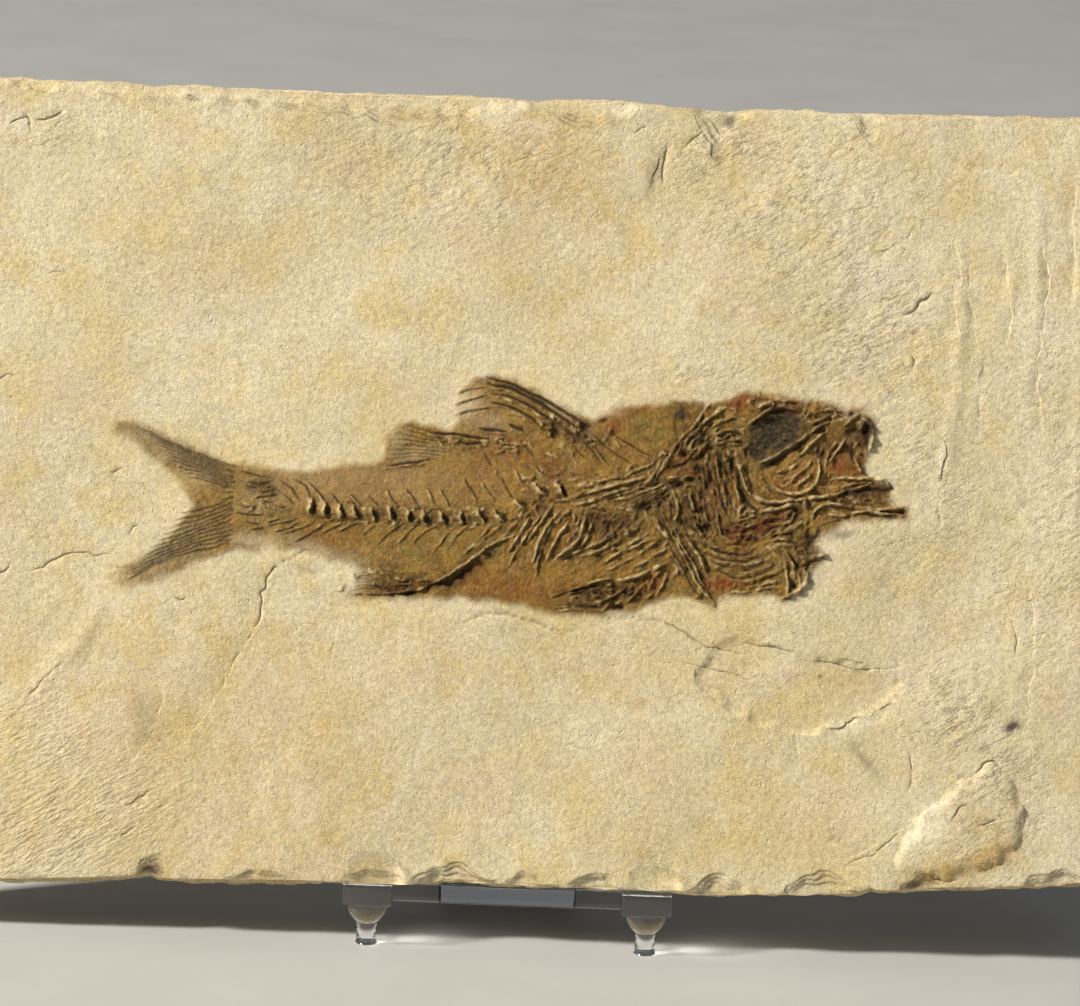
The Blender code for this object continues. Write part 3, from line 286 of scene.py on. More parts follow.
# Patches of colour on the stone: u, v, half width, half height, turn in degrees, strength
YELLOW_STAINS = (
    (-35, -34, 30, 17, 0, 0.42), (0, -22, 34, 9, 0, 0.26), (8, 28, 26, 15, 0, 0.16),
    (16, -34, 20, 13, 0, 0.16), (-8, 22, 30, 12, 0, 0.1), (5, 40, 6.5, 6, 20, 0.75),
    (2, 33, 5, 5, 0, 0.35), (9, 35, 4, 6, 10, 0.45), (0.5, 37.5, 2.2, 1.4, 0, 0.8),
    (-13.5, 46.8, 3.4, 0.8, 0, 0.7), (-6.5, 45.4, 2, 1, 20, 0.55), (2.2, 47.2, 2.4, 0.6, 0, 0.9),
    (11, 46.8, 2, 0.9, 0, 0.9), (7.6, 36.8, 1.6, 0.9, 0, 0.5), (-18, 41, 7, 4, 0, 0.22),
    (69, 39.4, 1.4, 3.2, 0, 0.75), (57.6, 42.6, 1.3, 0.7, 0, 0.6), (43, -22.6, 4, 1.4, -4, 0.6),
    (49, -23, 1.3, 1, 0, 0.45), (68.6, -24.2, 1.5, 3.4, 0, 0.5), (61, -44.2, 4.2, 1.5, 32, 1.7),
    (55.6, -46, 3.6, 1.3, 10, 1.6), (59, -39.5, 3.4, 2.6, 20, 0.45),
    (63.6, -37.2, 1.4, 3.2, -10, 0.5), (-26, -33, 16, 11, 10, 0.46), (-8, -37, 10, 9, 0, 0.38),
    (-22, -43, 2.2, 2, 40, 0.5), (-45.6, -27, 2.6, 5, 10, 0.5), (-58, -44, 8, 6, 0, 0.45),
    (-52, 12, 6, 9, 0, 0.1), (30, 42, 5, 5, 0, 0.2), (37, -43, 7, 3, 0, 0.3),
    (17, -44.6, 2.2, 1.6, 0, 0.4), (-48.4, -11.9, 2.2, 1.4, 20, 0.5), (56.6, 19, 1.2, 1.6, 0, 0.35),
    (50.6, -33.4, 2.4, 1.8, 0, 0.35), (60, -16, 8, 6, 0, 0.16), (-30, 26, 1.4, 0.9, 0, 0.3))

BROWN_MARKS = (
    (-43.4, -48.2, 1.4, 1.3, 30, 1), (25.2, 43.2, 0.6, 1.4, 0, 0.5), (26.6, 47.2, 1.2, 0.7, 0, 0.9),
    (17.2, 40.2, 0.9, 2.6, -6, 0.42), (63.8, -27.6, 0.95, 0.5, 25, 1.8),
    (63.2, -35.8, 0.26, 0.3, 0, 1), (52.2, -47.6, 2.2, 0.5, 8, 0.8),
    (45.4, -32.2, 0.55, 2.5, 38, 0.5), (-14.5, -47.6, 2.4, 1.5, 0, 0.35),
    (-61.5, -29.7, 0.5, 0.2, 20, 0.7), (47.3, -9.6, 0.5, 1.4, -30, 0.4),
    (48.6, -11.6, 1, 0.3, 40, 0.4), (-24.6, -10.2, 1.6, 0.7, -10, 0.35),
    (60.6, -30.4, 0.9, 0.5, 10, 0.5), (-44.6, -29.6, 1.6, 3.4, 10, 0.25),
    (-14.5, 42.7, 0.3, 0.2, 0, 0.7), (27.6, 23.3, 0.25, 0.25, 0, 0.7),
    (39.2, 23.6, 0.3, 0.2, 0, 0.7), (62.5, 18.2, 0.25, 0.25, 0, 0.6),
    (67.3, 17.4, 0.25, 0.25, 0, 0.6), (5.5, -37.4, 0.25, 0.2, 0, 0.6),
    (13.6, -41, 0.25, 0.2, 0, 0.6), (39.6, -22, 0.3, 0.2, 0, 0.7), (-55.8, 45.7, 0.3, 0.25, 0, 0.8),
    (42, -41.9, 0.9, 0.3, 30, 0.4))

PALE_MARKS = (
    (66, 8, 10, 40, 0, 0.36), (53.4, -40.6, 3.4, 2.2, 48, 0.8), (62, -28.8, 2.6, 1.5, 20, 0.6),
    (-3.4, 46.9, 2.6, 0.8, 10, 0.6), (43.6, -28.4, 4.6, 0.7, 24, 0.55), (54.2, 5.4, 0.6, 4, 0, 0.6),
    (58.6, 13, 0.45, 5, 0, 0.5), (43.2, 43.6, 1.2, 3, -30, 0.45), (67.2, 30, 0.8, 8, 0, 0.4),
    (-62.6, 45.4, 2.4, 1.4, 10, 0.5), (-5, 17, 16, 3, 4, 0.25), (24.6, 45, 1.5, 2, 0, 0.35),
    (-52, -41, 8, 5, 40, 0.3), (-38, 17, 14, 8, 0, 0.4), (50, -15, 4, 3, 0, 0.2),
    (60.5, 41, 4, 3, 0, 0.3), (46, 30, 12, 16, 0, 0.34))

# Veins of paler stone: points, half width, strength
PALE_VEINS = (
    (((-7.6, -26), (-12, -37), (-14.5, -42), (-16.5, -46)), 0.5, 0.5),
    (((27, 36), (24, 28), (20.6, 18), (19, 13.4)), 0.8, 0.3),
    (((1, -16.4), (-3, -22), (-8, -29)), 0.6, 0.25), (((59.4, 46), (58.6, 38), (60, 30)), 0.6, 0.4))

# Where the face is pitted and rough, and where it is combed by slanting striations
ROUGH_ZONES = (
    (38, 36, 13, 12, 0, 0.7), (44, 22, 10, 12, 0, 0.8), (57, -26.5, 6, 6, 20, 1),
    (26, 17, 9, 3, 20, 0.5), (62, -34, 5, 6, 0, 0.9), (-60, 44, 8, 3, 0, 0.5),
    (60, -42, 6, 4, 30, 0.8), (-8, 41, 18, 8, 0, 0.6), (52, 2, 8, 12, 0, 0.5),
    (27, 42, 7, 6, 0, 0.8), (68, -4, 6, 20, 0, 0.5))

STRIATED_ZONES = ((-54, -43, 14, 8, 20, 0.9), (-58, -33, 8, 9, 30, 0.6), (-40, 30, 22, 14, 0, 0.12))

FISH_OUTLINE = (
    (-50, 6.2), (-49.2, 7.6), (-46.6, 7.9), (-43.9, 6.9), (-40.6, 5.4), (-37.4, 4.1), (-34.6, 3.1),
    (-31, 2.8), (-28, 2.3), (-24, 2.4), (-20, 3.3), (-16.6, 3.6), (-15.8, 4.6), (-15.4, 6.6),
    (-14.3, 8.2), (-12.4, 8.8), (-10.6, 8.3), (-8.6, 8), (-6.9, 8.4), (-6.7, 10.6), (-6.3, 12.5),
    (-5.2, 13.8), (-4, 14.7), (-1.4, 14.7), (1.2, 13.9), (4.6, 12.4), (7.6, 10.8), (10.2, 9.6),
    (11.4, 10.3), (13.4, 11.3), (17, 11.6), (21.4, 12.1), (25.2, 12), (27.4, 12.4), (28.6, 13.3),
    (32.4, 13.2), (36.6, 12.6), (40, 12.4), (42, 11.8), (44.4, 11.5), (45.6, 10.5), (45.9, 9.2),
    (45, 6.2), (44.6, 3.5), (46.9, 2.8), (48.1, 1.4), (48, -0.2), (49.9, -0.7), (50, -2.2),
    (46.6, -2.5), (42.6, -2.8), (40.4, -4.2), (38.9, -5.4), (40.2, -7), (38.6, -8.2), (37.6, -10.4),
    (36.6, -11.8), (35, -12.7), (32.6, -12), (29, -12.3), (27, -12.6), (26.4, -14.2), (24.8, -13.2),
    (22.6, -12.4), (19, -13.2), (15.6, -14.6), (11, -15.1), (6.4, -15.1), (2.4, -14.2), (-2, -13.7),
    (-7, -13.4), (-13.6, -13.6), (-20.4, -13.6), (-19, -11.4), (-19.2, -9.6), (-23, -8.9),
    (-26, -7.8), (-30, -7.7), (-35.4, -8.4), (-38.8, -9.6), (-42, -11.2), (-45.6, -12.6),
    (-48.6, -13), (-49.2, -11.4), (-47, -9.9), (-43.6, -7.4), (-41, -4.9), (-39.8, -1.9),
    (-42.2, 0.9), (-44.8, 3.3), (-47.4, 5.2))

# Gaps between the vertebrae, sunk and darkened with painted shade: u, v, half width, half height
VERTEBRA_GAPS = (
    (-24.1, -2.5, 0.34, 0.6), (-22.3, -2.9, 0.3, 0.6), (-20.3, -3, 0.34, 0.7),
    (-18.4, -3.1, 0.46, 0.9), (-16.3, -3.25, 0.5, 0.85), (-14.1, -3.1, 0.36, 0.7),
    (-12, -3.25, 0.34, 0.75), (-9.8, -3.5, 0.5, 0.8), (-7.5, -3.5, 0.44, 0.8),
    (-5.4, -3.3, 0.26, 0.6), (-2.8, -3.1, 0.34, 0.8), (-0.4, -2.9, 0.44, 0.9), (2, -1.3, 0.34, 0.8),
    (4.5, 0.5, 0.3, 0.7), (6.9, 0.6, 0.36, 0.7))

NEURAL_SPINES = (
    ((-26.9, 1.1), (-25.2, 0.2), (-24.6, -1.9)), ((-24.9, 0.8), (-23.6, -0.6), (-22.7, -1.9)),
    ((-22.1, -0.7), (-20.5, -2.1)), ((-19.5, -0.6), (-18.2, -2.1)), ((-17.4, -0.6), (-15.9, -2.3)),
    ((-15.1, 0.1), (-13.5, -2.1)), ((-12.6, 0.2), (-11.7, -1.1), (-10.9, -2.1)),
    ((-9.9, 0.4), (-8.8, -2.1)), ((-8.3, 0.2), (-6.9, -2)),
    ((-5.4, 1.8), (-4.6, 0.4), (-3.7, -1.3)), ((-3.1, 1.3), (-2.3, 0), (-1.4, -1.2)),
    ((-0.8, 2.1), (-0.1, 0.6), (0.8, -0.9)), ((1, 3.1), (1.7, 1.6), (3.1, 0.2)),
    ((3.5, 3.7), (4, 2.8), (5.2, 2.1)))

HAEMAL_SPINES = (
    ((-27.8, -5.8), (-25.2, -4.9), (-23.9, -4.2)), ((-26.4, -6.8), (-24, -5.5), (-22.4, -4.3)),
    ((-23, -5.7), (-20.6, -4.3)), ((-20.9, -5.2), (-18.4, -4.2)), ((-17.9, -5.9), (-16.3, -4.4)),
    ((-16, -7), (-14.2, -5.2), (-12.6, -3.9)), ((-13.4, -6.7), (-12, -5), (-10.9, -4.1)),
    ((-11.6, -6.6), (-9.8, -4.9), (-8.3, -4.3)), ((-8.9, -7.6), (-7.4, -5.8), (-6.2, -4.2)),
    ((-7, -6.9), (-5.6, -5.2), (-4.4, -3.9)), ((-4.9, -7.8), (-3, -5.9), (-1.8, -4.2)))

ANAL_SPINE = (
    (1, -5.1), (-1.4, -6.3), (-3.2, -7.5), (-5.4, -9.2), (-7.6, -10.7), (-9.4, -11.8), (-12, -12.6),
    (-15, -12.9), (-19, -13))

DORSAL_SPINES = (
    ((10.1, 8.4), (7.4, 10), (4.6, 11.6), (2, 12.9), (-0.8, 13.9), (-3, 14.4)),
    ((8.4, 8.4), (6, 9.9), (3.4, 11.6), (0.4, 13), (-2.9, 13.7)),
    ((6, 8.6), (4.2, 9.9), (2, 11.2), (-0.4, 12.2), (-2.2, 12.4)),
    ((4.2, 8.3), (2, 9.8), (-0.4, 10.9), (-2.4, 11.3)), ((1.8, 7.9), (0, 8.7)),
    ((-0.3, 7.6), (-3.7, 8)), ((-2.6, 6.7), (-6, 7.2), (-10, 7.4)), ((-3.4, 6.2), (-5.8, 6.1)),
    ((-9.8, 3.9), (-13, 3.3), (-15.2, 3.1)))

FIN_BEARERS = (
    ((7.6, 6.8), (9.6, 4.6)), ((9.4, 6.6), (11.6, 4)), ((10.6, 6), (12.4, 4)),
    ((2.2, 5.8), (3.4, 4.6)), ((-3, 4.9), (-2, 3.4)), ((10.4, 7.5), (12.8, 5.6), (15.4, 4)),
    ((13.4, 7.5), (15.6, 6.2), (17.9, 4.9)), ((20.5, 10.2), (20.8, 8.7), (21.1, 7.4)),
    ((-1.4, 6.1), (1.6, 5.8)))

RIBS = (
    ((6.9, -1.9), (5.2, -3.8), (4.2, -5.9), (3.4, -8.6)), ((7.7, -3.4), (6.4, -5.3), (5, -8.1)),
    ((4.4, -2.3), (3, -4.5), (1.2, -7.4), (0.4, -9.1)), ((3, -2.9), (1.6, -5.1), (0.3, -7.2)),
    ((5.8, -1.4), (4.5, -3.1), (2.6, -6.2)), ((13.4, -5), (10.6, -6.3), (8.2, -7.5), (6.4, -8.1)),
    ((16.4, -5.2), (14.2, -7), (12.2, -8.4)), ((14.2, -5.5), (11.6, -6.9), (9.4, -7.6)),
    ((17.8, -5.4), (15.4, -6.6), (13, -7.7)), ((7.2, -0.8), (9.8, 0.2), (13, 1.1), (17.2, 2.7)),
    ((8.2, -1.2), (10.4, -0.9), (12.8, 0.3), (15.2, 1)))

SHOULDER = (
    ((17.9, 1.5), (19, 3.3), (20.1, 5.1), (21.1, 6.7), (22.2, 7.8), (23.3, 9.3), (24.2, 10.8),
     (25, 11.6)),
    ((20.9, 5.1), (22, 6.7), (23.1, 8.1), (24.6, 9.7), (26, 10.8), (27.1, 11.3)),
    ((18.7, 5.1), (19.3, 5.6), (19.9, 5.3)), ((16.9, 1.2), (18.2, 2.9), (19, 4.6)),
    ((10, -1.6), (9.5, -4), (8.4, -6.2), (6, -8.2)), ((18.4, -2.6), (19.5, -4.3), (20.4, -5.4)),
    ((21.2, -0.2), (21.4, -1.5), (21.1, -2.9)), ((22.6, 0.4), (23.1, -0.8), (23.3, -1.9)),
    ((20.3, -8.2), (18, -9.3), (15.6, -10.2), (13.8, -10.5)),
    ((20.6, -4.7), (21.9, -6.9), (23.3, -9.3), (24.5, -11.1), (25.4, -12.4), (26.1, -13.5)),
    ((21.2, -5.1), (22.8, -7.3), (24.2, -9.5), (25.4, -11.7)),
    ((22.3, -4.9), (23.7, -6.6), (24.6, -8.4), (25.3, -9.9)))

PELVIC_SPINES = (
    ((13.6, -10.2), (11, -10.9), (8.4, -11.9), (5.9, -12.7)),
    ((12.4, -11.5), (10, -11.9), (7.6, -12.5)), ((17.2, -11), (16.2, -12.4), (15.2, -13.3)),
    ((18.5, -12), (17.5, -12.8)))

SKULL = (
    ((30, 9.4), (30.9, 10.1), (32, 11), (32.8, 11.3)),
    ((31.1, 4.4), (32.8, 5.1), (34.3, 6.1), (36.1, 7.3), (37.8, 8.6), (39.9, 9.95)),
    ((28.3, 5.7), (29, 3.8), (29.7, 1.8), (30.5, 0.4), (32.2, -0.3), (34.9, -0.2), (37.4, 0.3),
     (39.8, 0.6), (42.3, 1.1), (44.5, 2), (46.2, 2.8)),
    ((33.1, 1.6), (35.1, 0.8), (37.3, 1.1), (38.6, 2), (38.9, 3.8), (38.6, 5.2)),
    ((40.7, 2.8), (42.9, 2.9), (45.3, 3), (47.1, 2.6), (47.8, 1.8)),
    ((42.3, 7.9), (41, 6.1), (40.1, 4.9)), ((43.1, 5.6), (43.7, 4.5), (44.2, 3.5)),
    ((39.8, 8.8), (38.7, 8), (37.5, 6.8), (36.5, 5.9)),
    ((31.4, -1.7), (32.9, -1.3), (34.5, -1), (36.3, -0.3)),
    ((37.1, 0.2), (37.3, -0.9), (37.6, -1.6)), ((44.2, 10.4), (45.2, 9.6), (45.4, 8), (45, 6.2)))

LOWER_JAW = (
    ((38.1, -2.4), (38.4, -1.4), (39.2, -0.7), (40.3, -0.4), (41.9, -0.5), (43.5, -0.7)),
    ((43.7, -0.7), (45.5, -0.9), (47.3, -1), (48.8, -0.8), (49.9, -0.5)),
    ((40.1, -1.7), (41.7, -1.7), (43.5, -1.4), (45.2, -1.2), (47, -1.5), (49.6, -1.6)),
    ((36.8, -2.5), (36, -3.4), (34.6, -4.1)),
    ((35.1, -6.4), (35.6, -7.7), (36.5, -9), (37, -10.4), (36.8, -11.3)),
    ((34.7, -7), (34.9, -8.8), (35.4, -10.6), (35.2, -12)),
    ((37.8, -9), (37.6, -10.1), (36.8, -11.3), (35.9, -11.7), (34.8, -12.2)),
    ((36.9, -8.1), (38.7, -7.1), (40.2, -6.9)))

THROAT = (
    ((25.2, -6.4), (27, -7.2), (28.8, -7.4), (30.6, -7.3), (32.1, -6.5)),
    ((25.3, -7.5), (27.1, -8), (29.3, -8.2), (31.3, -8), (32.9, -7.2)),
    ((25.2, -8.6), (26.9, -8.8), (28.4, -9.3), (30.7, -9.2), (32.5, -8.7), (33.8, -7.7)),
    ((28, -10.2), (29.4, -10.3), (31.1, -10.1), (32.9, -9.4), (34.5, -8.7)),
    ((27.6, -11.7), (30.4, -11.6), (32.4, -11.1), (33.6, -10.8)))

# Furrows between the bones of the head, darkened with dirt and painted shade: points, half width,
# depth
HEAD_FURROWS = (
    (((27.6, 5.3), (28.4, 3.8), (29.1, 1.3), (30, -0.5), (31.4, -1.5)), 0.34, 0.5),
    (((31.6, 3.6), (32.8, 4.4), (34.4, 5.4), (36.2, 6.6), (37.8, 7.9)), 0.3, 0.4),
    (((25, -5.8), (26.4, -6.5), (27.9, -6.9), (29.7, -7), (31.5, -6)), 0.2, 0.35),
    (((25.2, -6.9), (27, -7.6), (28.8, -7.8), (30.6, -7.7), (32.1, -6.9)), 0.14, 0.25),
    (((25.3, -7.9), (27.1, -8.4), (29.3, -8.6), (31.3, -8.4), (32.9, -7.6)), 0.14, 0.25),
    (((25.2, -9.2), (26.9, -9.2), (28.4, -9.8), (30.7, -9.7), (32.5, -9.1),
     (33.8, -8.1)), 0.18, 0.3),
    (((29.4, -10.8), (31.1, -10.5), (32.9, -9.8), (34.5, -9.1)), 0.13, 0.2),
    (((38.8, -3.2), (38.7, -4.3), (38.2, -5), (37.5, -6.1)), 0.34, 0.4),
    (((38.9, -3.4), (40.3, -2.8), (41.6, -2.3)), 0.13, 0.2),
    (((41.4, 0.7), (43.6, 1.2), (45.4, 1.6), (47.2, 1.6)), 0.4, 0.35),
    (((25.6, 4.4), (25.9, 3.1), (26.4, 1.4), (27, -0.6), (27.6, -2.2)), 0.2, 0.35),
    (((26.6, 5.6), (27, 4.2), (27.3, 2.4)), 0.16, 0.3),
    (((20, -5.6), (21.5, -8), (23, -10.4), (24.4, -12.2)), 0.14, 0.25),
    (((21.9, -5.5), (23.3, -7.7), (24.6, -10), (25.7, -12.2)), 0.14, 0.25),
    (((44.5, 9.4), (44.7, 8.4), (44.4, 6.8)), 0.34, 0.35),
    (((43, 7.6), (42.8, 6.2), (43.3, 4.6)), 0.2, 0.3),
    (((35.6, -6.8), (36.3, -8.4), (36.4, -9.8)), 0.2, 0.35),
    (((19.2, -2.2), (19.8, -3.6), (20.6, -4.8)), 0.2, 0.3),
    (((20.4, -0.4), (20.6, -2), (20.3, -3.4)), 0.2, 0.35),
    (((21.6, 7), (22.6, 7.6), (23.8, 9.2)), 0.12, 0.2),
    (((23.4, 6.6), (24.6, 8.4), (25.6, 9.6)), 0.14, 0.25),
    (((30.2, 8.6), (31.2, 9.9), (32.4, 10.7), (34.6, 11.2), (36.4, 10.8)), 0.24, 0.35))
# The fish with a margin of bare stone round it, as one loop
FISH_MARGIN = (
    (-52, 5.6), (-50.6, 9.6), (-46.4, 10), (-42, 8.4), (-37, 6.2), (-31, 5), (-24, 4.6), (-19, 5.4),
    (-17.6, 8.6), (-14.8, 10.6), (-10.8, 10.6), (-9, 11.4), (-8.4, 14.2), (-5.4, 16.6),
    (-0.4, 16.8), (5, 14.6), (9, 12.4), (13, 13.4), (20, 14.2), (27, 15), (33, 15.4), (40, 14.8),
    (45.6, 13.8), (48, 11), (47.4, 6.4), (49.4, 4.4), (50.6, 1.6), (52.2, -1), (51.8, -3.8),
    (47, -4.8), (43, -5.6), (42.6, -8.4), (41, -11), (38, -14), (33, -14.6), (28.6, -14.6),
    (26.4, -16.4), (23, -15), (19, -15.6), (14, -17.2), (6, -17.3), (0, -16.2), (-8, -15.8),
    (-20.6, -15.9), (-22.6, -12.6), (-27, -10.4), (-33, -10.4), (-38, -12), (-44, -14.8),
    (-49.6, -15.6), (-52.2, -12), (-49, -8.4), (-44.6, -4.6), (-43.4, -2), (-45.6, 0.8),
    (-50.4, 3.2))

# Finer bones and shreds of the head, shoulder and belly
HEAD_STRANDS = (
    ((25.1, 8.8), (26.4, 9.6), (28, 10.1), (29.5, 9.9)),
    ((25.3, 7.7), (26.9, 8.5), (28.5, 8.6), (29.4, 8.2)), ((26.2, 6.6), (27.5, 7.3), (28.7, 7.3)),
    ((28.7, 5.5), (29.2, 4.2), (29.9, 2.4), (30.4, 0.9)),
    ((27.7, 4.8), (27.8, 3), (28.4, 1.5), (29.1, -0.1)),
    ((25.9, 5.7), (26.1, 4.1), (26.3, 2.6), (27.1, 0.8), (27.5, -1)),
    ((24.6, 4.6), (24.9, 3), (25.2, 1.2)), ((19.9, 2.3), (21.2, 2.4), (22.6, 2.8), (24, 2.6)),
    ((20.4, 3.9), (21.8, 4.4), (22.8, 5.4)), ((22.4, 6), (23.6, 7.6), (24.8, 8.8)),
    ((22.8, 4.6), (23.8, 5.8), (25, 6.8)), ((32.6, 12.6), (34.4, 12.4), (36.2, 12.3)),
    ((37, 10.4), (38.6, 11.2), (40.4, 11.4), (42, 11)), ((37.4, 9.4), (38.8, 10.2), (40.2, 10.9)),
    ((41.8, 9.4), (42.8, 10.4), (43.8, 10.9)), ((33.6, 3.4), (34.8, 3.8), (36, 4.6)),
    ((34.6, 2.4), (36, 3), (37.2, 4.2), (38, 5.6)), ((36.2, 1.8), (37.4, 2.6), (38, 3.6)),
    ((39.6, 4.4), (40, 6), (41, 7.4)), ((31.4, 2.8), (32.2, 1.8), (33.4, 1)),
    ((42.4, 1.9), (44.2, 2.4), (45.8, 2.4)), ((28.6, -3), (29.8, -2.6), (31.2, -2)),
    ((29.4, -3.7), (30.8, -3.4), (32.2, -2.6)), ((33.8, -4.4), (35.2, -3.6), (36.4, -2.6)),
    ((32.6, -5.6), (34, -5), (35.6, -4.9)), ((22, -2.4), (22.6, -3.6), (23.6, -4.6)),
    ((24.4, -0.2), (24.6, -1.6), (25.2, -2.8)), ((26.4, -2), (26.6, -3.4), (27, -4.6)),
    ((33.4, -6.6), (34.6, -7.6), (35.2, -9.2)), ((31.8, -10.9), (33, -10.3), (34.2, -10.2)))

BELLY_STRANDS = (
    ((11, -2.6), (10.4, -4.4), (9.4, -6.4), (7.4, -8.6)), ((12.6, -3.2), (12, -5), (10.4, -6.2)),
    ((14.4, -3.4), (13, -4.8), (11, -5.8)), ((18, -4.4), (16, -5.6), (13.6, -6.6), (11, -7)),
    ((19.6, -5), (17.4, -6.6), (14.8, -8.4), (12.6, -9.2)),
    ((20.4, -6.2), (18.4, -7.6), (16, -8.8)), ((6, -3), (5, -5), (4.2, -7.4), (3.8, -10.4)),
    ((2.4, -2.4), (0.8, -4), (-0.8, -6)), ((1.2, -3.6), (-0.4, -5.4), (-2, -7)),
    ((-0.6, -3.8), (-2.4, -5.6), (-4, -7)), ((9, 0.8), (11.4, 1.6), (14.6, 2.6), (18, 4)),
    ((8.6, 0), (12, 1), (15.8, 2), (19, 3.2)), ((9.6, -0.6), (12.4, -0.2), (15, 0.4), (17.6, 1.6)),
    ((6, -0.6), (8, -0.4), (10.2, 0.6)), ((13.2, -0.6), (15.2, -0.2), (17.4, 0.8), (19.4, 1.6)),
    ((14.6, -10.6), (12.2, -11.4), (9.4, -12.4)), ((15.4, -11.2), (13.6, -12.4), (11.6, -13.6)),
    ((19.6, -8.8), (18.6, -10.4), (17.8, -12.2)), ((20.2, -9), (19.8, -10.8), (18.8, -12.4)))

TAIL_STROKES = (
    ((-32.6, 0.6), (-31, 0.5), (-29.4, 0.9)), ((-31.8, -0.4), (-30.2, -0.6), (-29, -0.3)),
    ((-31.5, -1.3), (-30, -1.2), (-28.6, -0.9)), ((-30.6, -2.1), (-29.4, -1.9)),
    ((-33.4, 1.8), (-31.4, 1.5), (-29, 1.2)), ((-32.6, -4.4), (-31, -4.6)),
    ((-33.8, -3.4), (-32.2, -3.6), (-30.4, -3.4)), ((-29.8, -4.4), (-28.4, -4)),
    ((-31.8, -5.4), (-30.2, -5)), ((-6.4, 12.2), (-4.6, 12.9), (-3, 13.2)),
    ((-6.6, 10.8), (-4.8, 11.6), (-2.6, 12)), ((-6.6, 9.4), (-4.8, 10.2), (-2.4, 10.6)))

CAUDAL_WEDGE = (
    ((-28.8, -5.6), (-26.8, -4.9), (-25.6, -4.2)), ((-29.6, -4.8), (-27.4, -4.3), (-26, -3.8)),
    ((-28.4, 0.9), (-26.8, -0.2), (-25.9, -1.6)), ((-29.6, 0.2), (-27.8, -0.9), (-26.4, -2.2)),
    ((-30.2, -2.6), (-28.4, -2.9), (-26.8, -2.9)))

# Patches of colour on the fish, as on the stone
FAINT_FILM = (
    (-48.6, -12.4, 2.6, 1.8, 25, 0.75), (-48.6, 5.8, 3.2, 1.7, -20, 0.6),
    (-6, 11.2, 2.4, 2.4, 0, 0.66), (-3, 9, 3, 1.4, -10, 0.22), (-42.2, -0.6, 2.4, 2.6, 0, 0.65),
    (-44, 3, 2.4, 1, 40, 0.5), (-14.6, 6.6, 2.2, 2, 0, 0.35), (-31, -6.8, 4, 1, -6, 0.45),
    (-39.6, 1, 3.6, 1.6, 10, 0.4), (40.4, -5.6, 1.6, 1.6, 0, 0.6), (12.2, 10.6, 2, 0.8, 10, 0.6),
    (5.8, 11, 3, 0.8, -30, 0.35), (-20, -11.4, 2.6, 2.4, 0, 0.95), (42.6, 10.9, 1.6, 0.7, -10, 0.5),
    (44.6, 11.2, 0.8, 0.5, 0, 0.8), (-42, 5, 8, 2.6, -22, 0.36), (-43, -8.8, 8, 3.2, 33, 0.3),
    (-20, 1.6, 13, 3.4, 0, 0.2), (-22, 4.2, 8, 1.1, 3, 0.5), (-31.5, 3.6, 4, 1.2, 0, 0.4),
    (-31, -0.6, 3.6, 3, 0, 0.24), (-12, 4.6, 4, 1.2, 10, 0.3), (-24, -7.6, 5, 1, -20, 0.4))

RUST_PATCHES = (
    (-18, 1.4, 5, 2.2, -4, 0.3), (-3.2, 2.8, 1.4, 1.3, 0, 0.5), (5.2, 3.6, 1.4, 1.2, 0, 0.6),
    (1, -12, 5, 1.3, 0, 0.7), (-3, -11, 3, 1.8, 10, 0.4), (12.8, 9, 1.4, 1, -20, 1),
    (29, 12.2, 1.6, 1.3, 0, 1.3), (35.6, 12.2, 3, 0.6, -4, 1), (18.4, -10.6, 1.6, 0.8, 30, 1),
    (27, -10.7, 2.4, 0.8, 6, 1.2), (29, -4.6, 2.2, 1, 0, 1), (32.6, -3, 2.2, 0.8, 25, 0.9),
    (41.4, 4.5, 1, 1.5, -10, 1.3), (43, -1.6, 1.8, 0.3, 4, 0.7), (8, -3.6, 1.4, 2.4, -20, 0.3),
    (-22, -6.4, 5, 1.2, -6, 0.35), (0.6, 5, 5, 1.4, -6, 0.35), (34.4, 1.9, 1.4, 0.7, 0, 0.9),
    (7, -10, 3, 1.4, 0, 0.2), (36.4, 2.6, 1.6, 1, 40, 0.6), (41.4, -3, 1.6, 0.3, 20, 0.5),
    (43.6, 4.2, 0.7, 1.4, 0, 0.9), (20.8, 4.2, 1.8, 1, 20, 0.7), (34, 11, 2.2, 0.5, 0, 0.9),
    (26, 0.6, 1.4, 1.4, 0, 0.6), (15.6, 11, 3, 0.5, 8, 0.8), (22.4, 3, 1.4, 0.6, 0, 0.6))

OLIVE_PATCHES = (
    (-4, 10.4, 3.6, 3, 20, 0.3), (17.6, 8.2, 3, 2.4, -10, 1.1), (21.8, -11.2, 2, 1.4, 0, 1),
    (-42, 4.2, 8, 2.6, -20, 0.8), (-43, -8.6, 8, 3, 32, 0.9), (12.4, 5, 3, 1.8, -30, 0.5),
    (-13.6, -7.6, 7, 2.2, 4, 0.9), (-4, -9, 3, 1.4, 30, 0.5), (-21, -8, 4, 0.8, 0, 0.7),
    (26.4, 7.4, 3.4, 2.6, 30, 0.8), (22, -1.6, 2.6, 3.2, 0, 0.8), (9.6, -9.4, 3.4, 1.4, 14, 0.5),
    (-30, -3, 5, 3.4, 0, 0.6), (30.2, 4.6, 1.2, 2.4, 10, 1), (-6, -6.4, 5, 1.6, 0, 0.6),
    (5, 10, 4, 1.2, -30, 0.7), (24.4, -4.8, 2.6, 1.2, 0, 0.7), (36, -6.6, 2.6, 2.6, 0, 0.7),
    (-14, 6.4, 3, 1.8, 0, 0.6), (-12, -4.6, 12, 0.7, 0, 0.5))

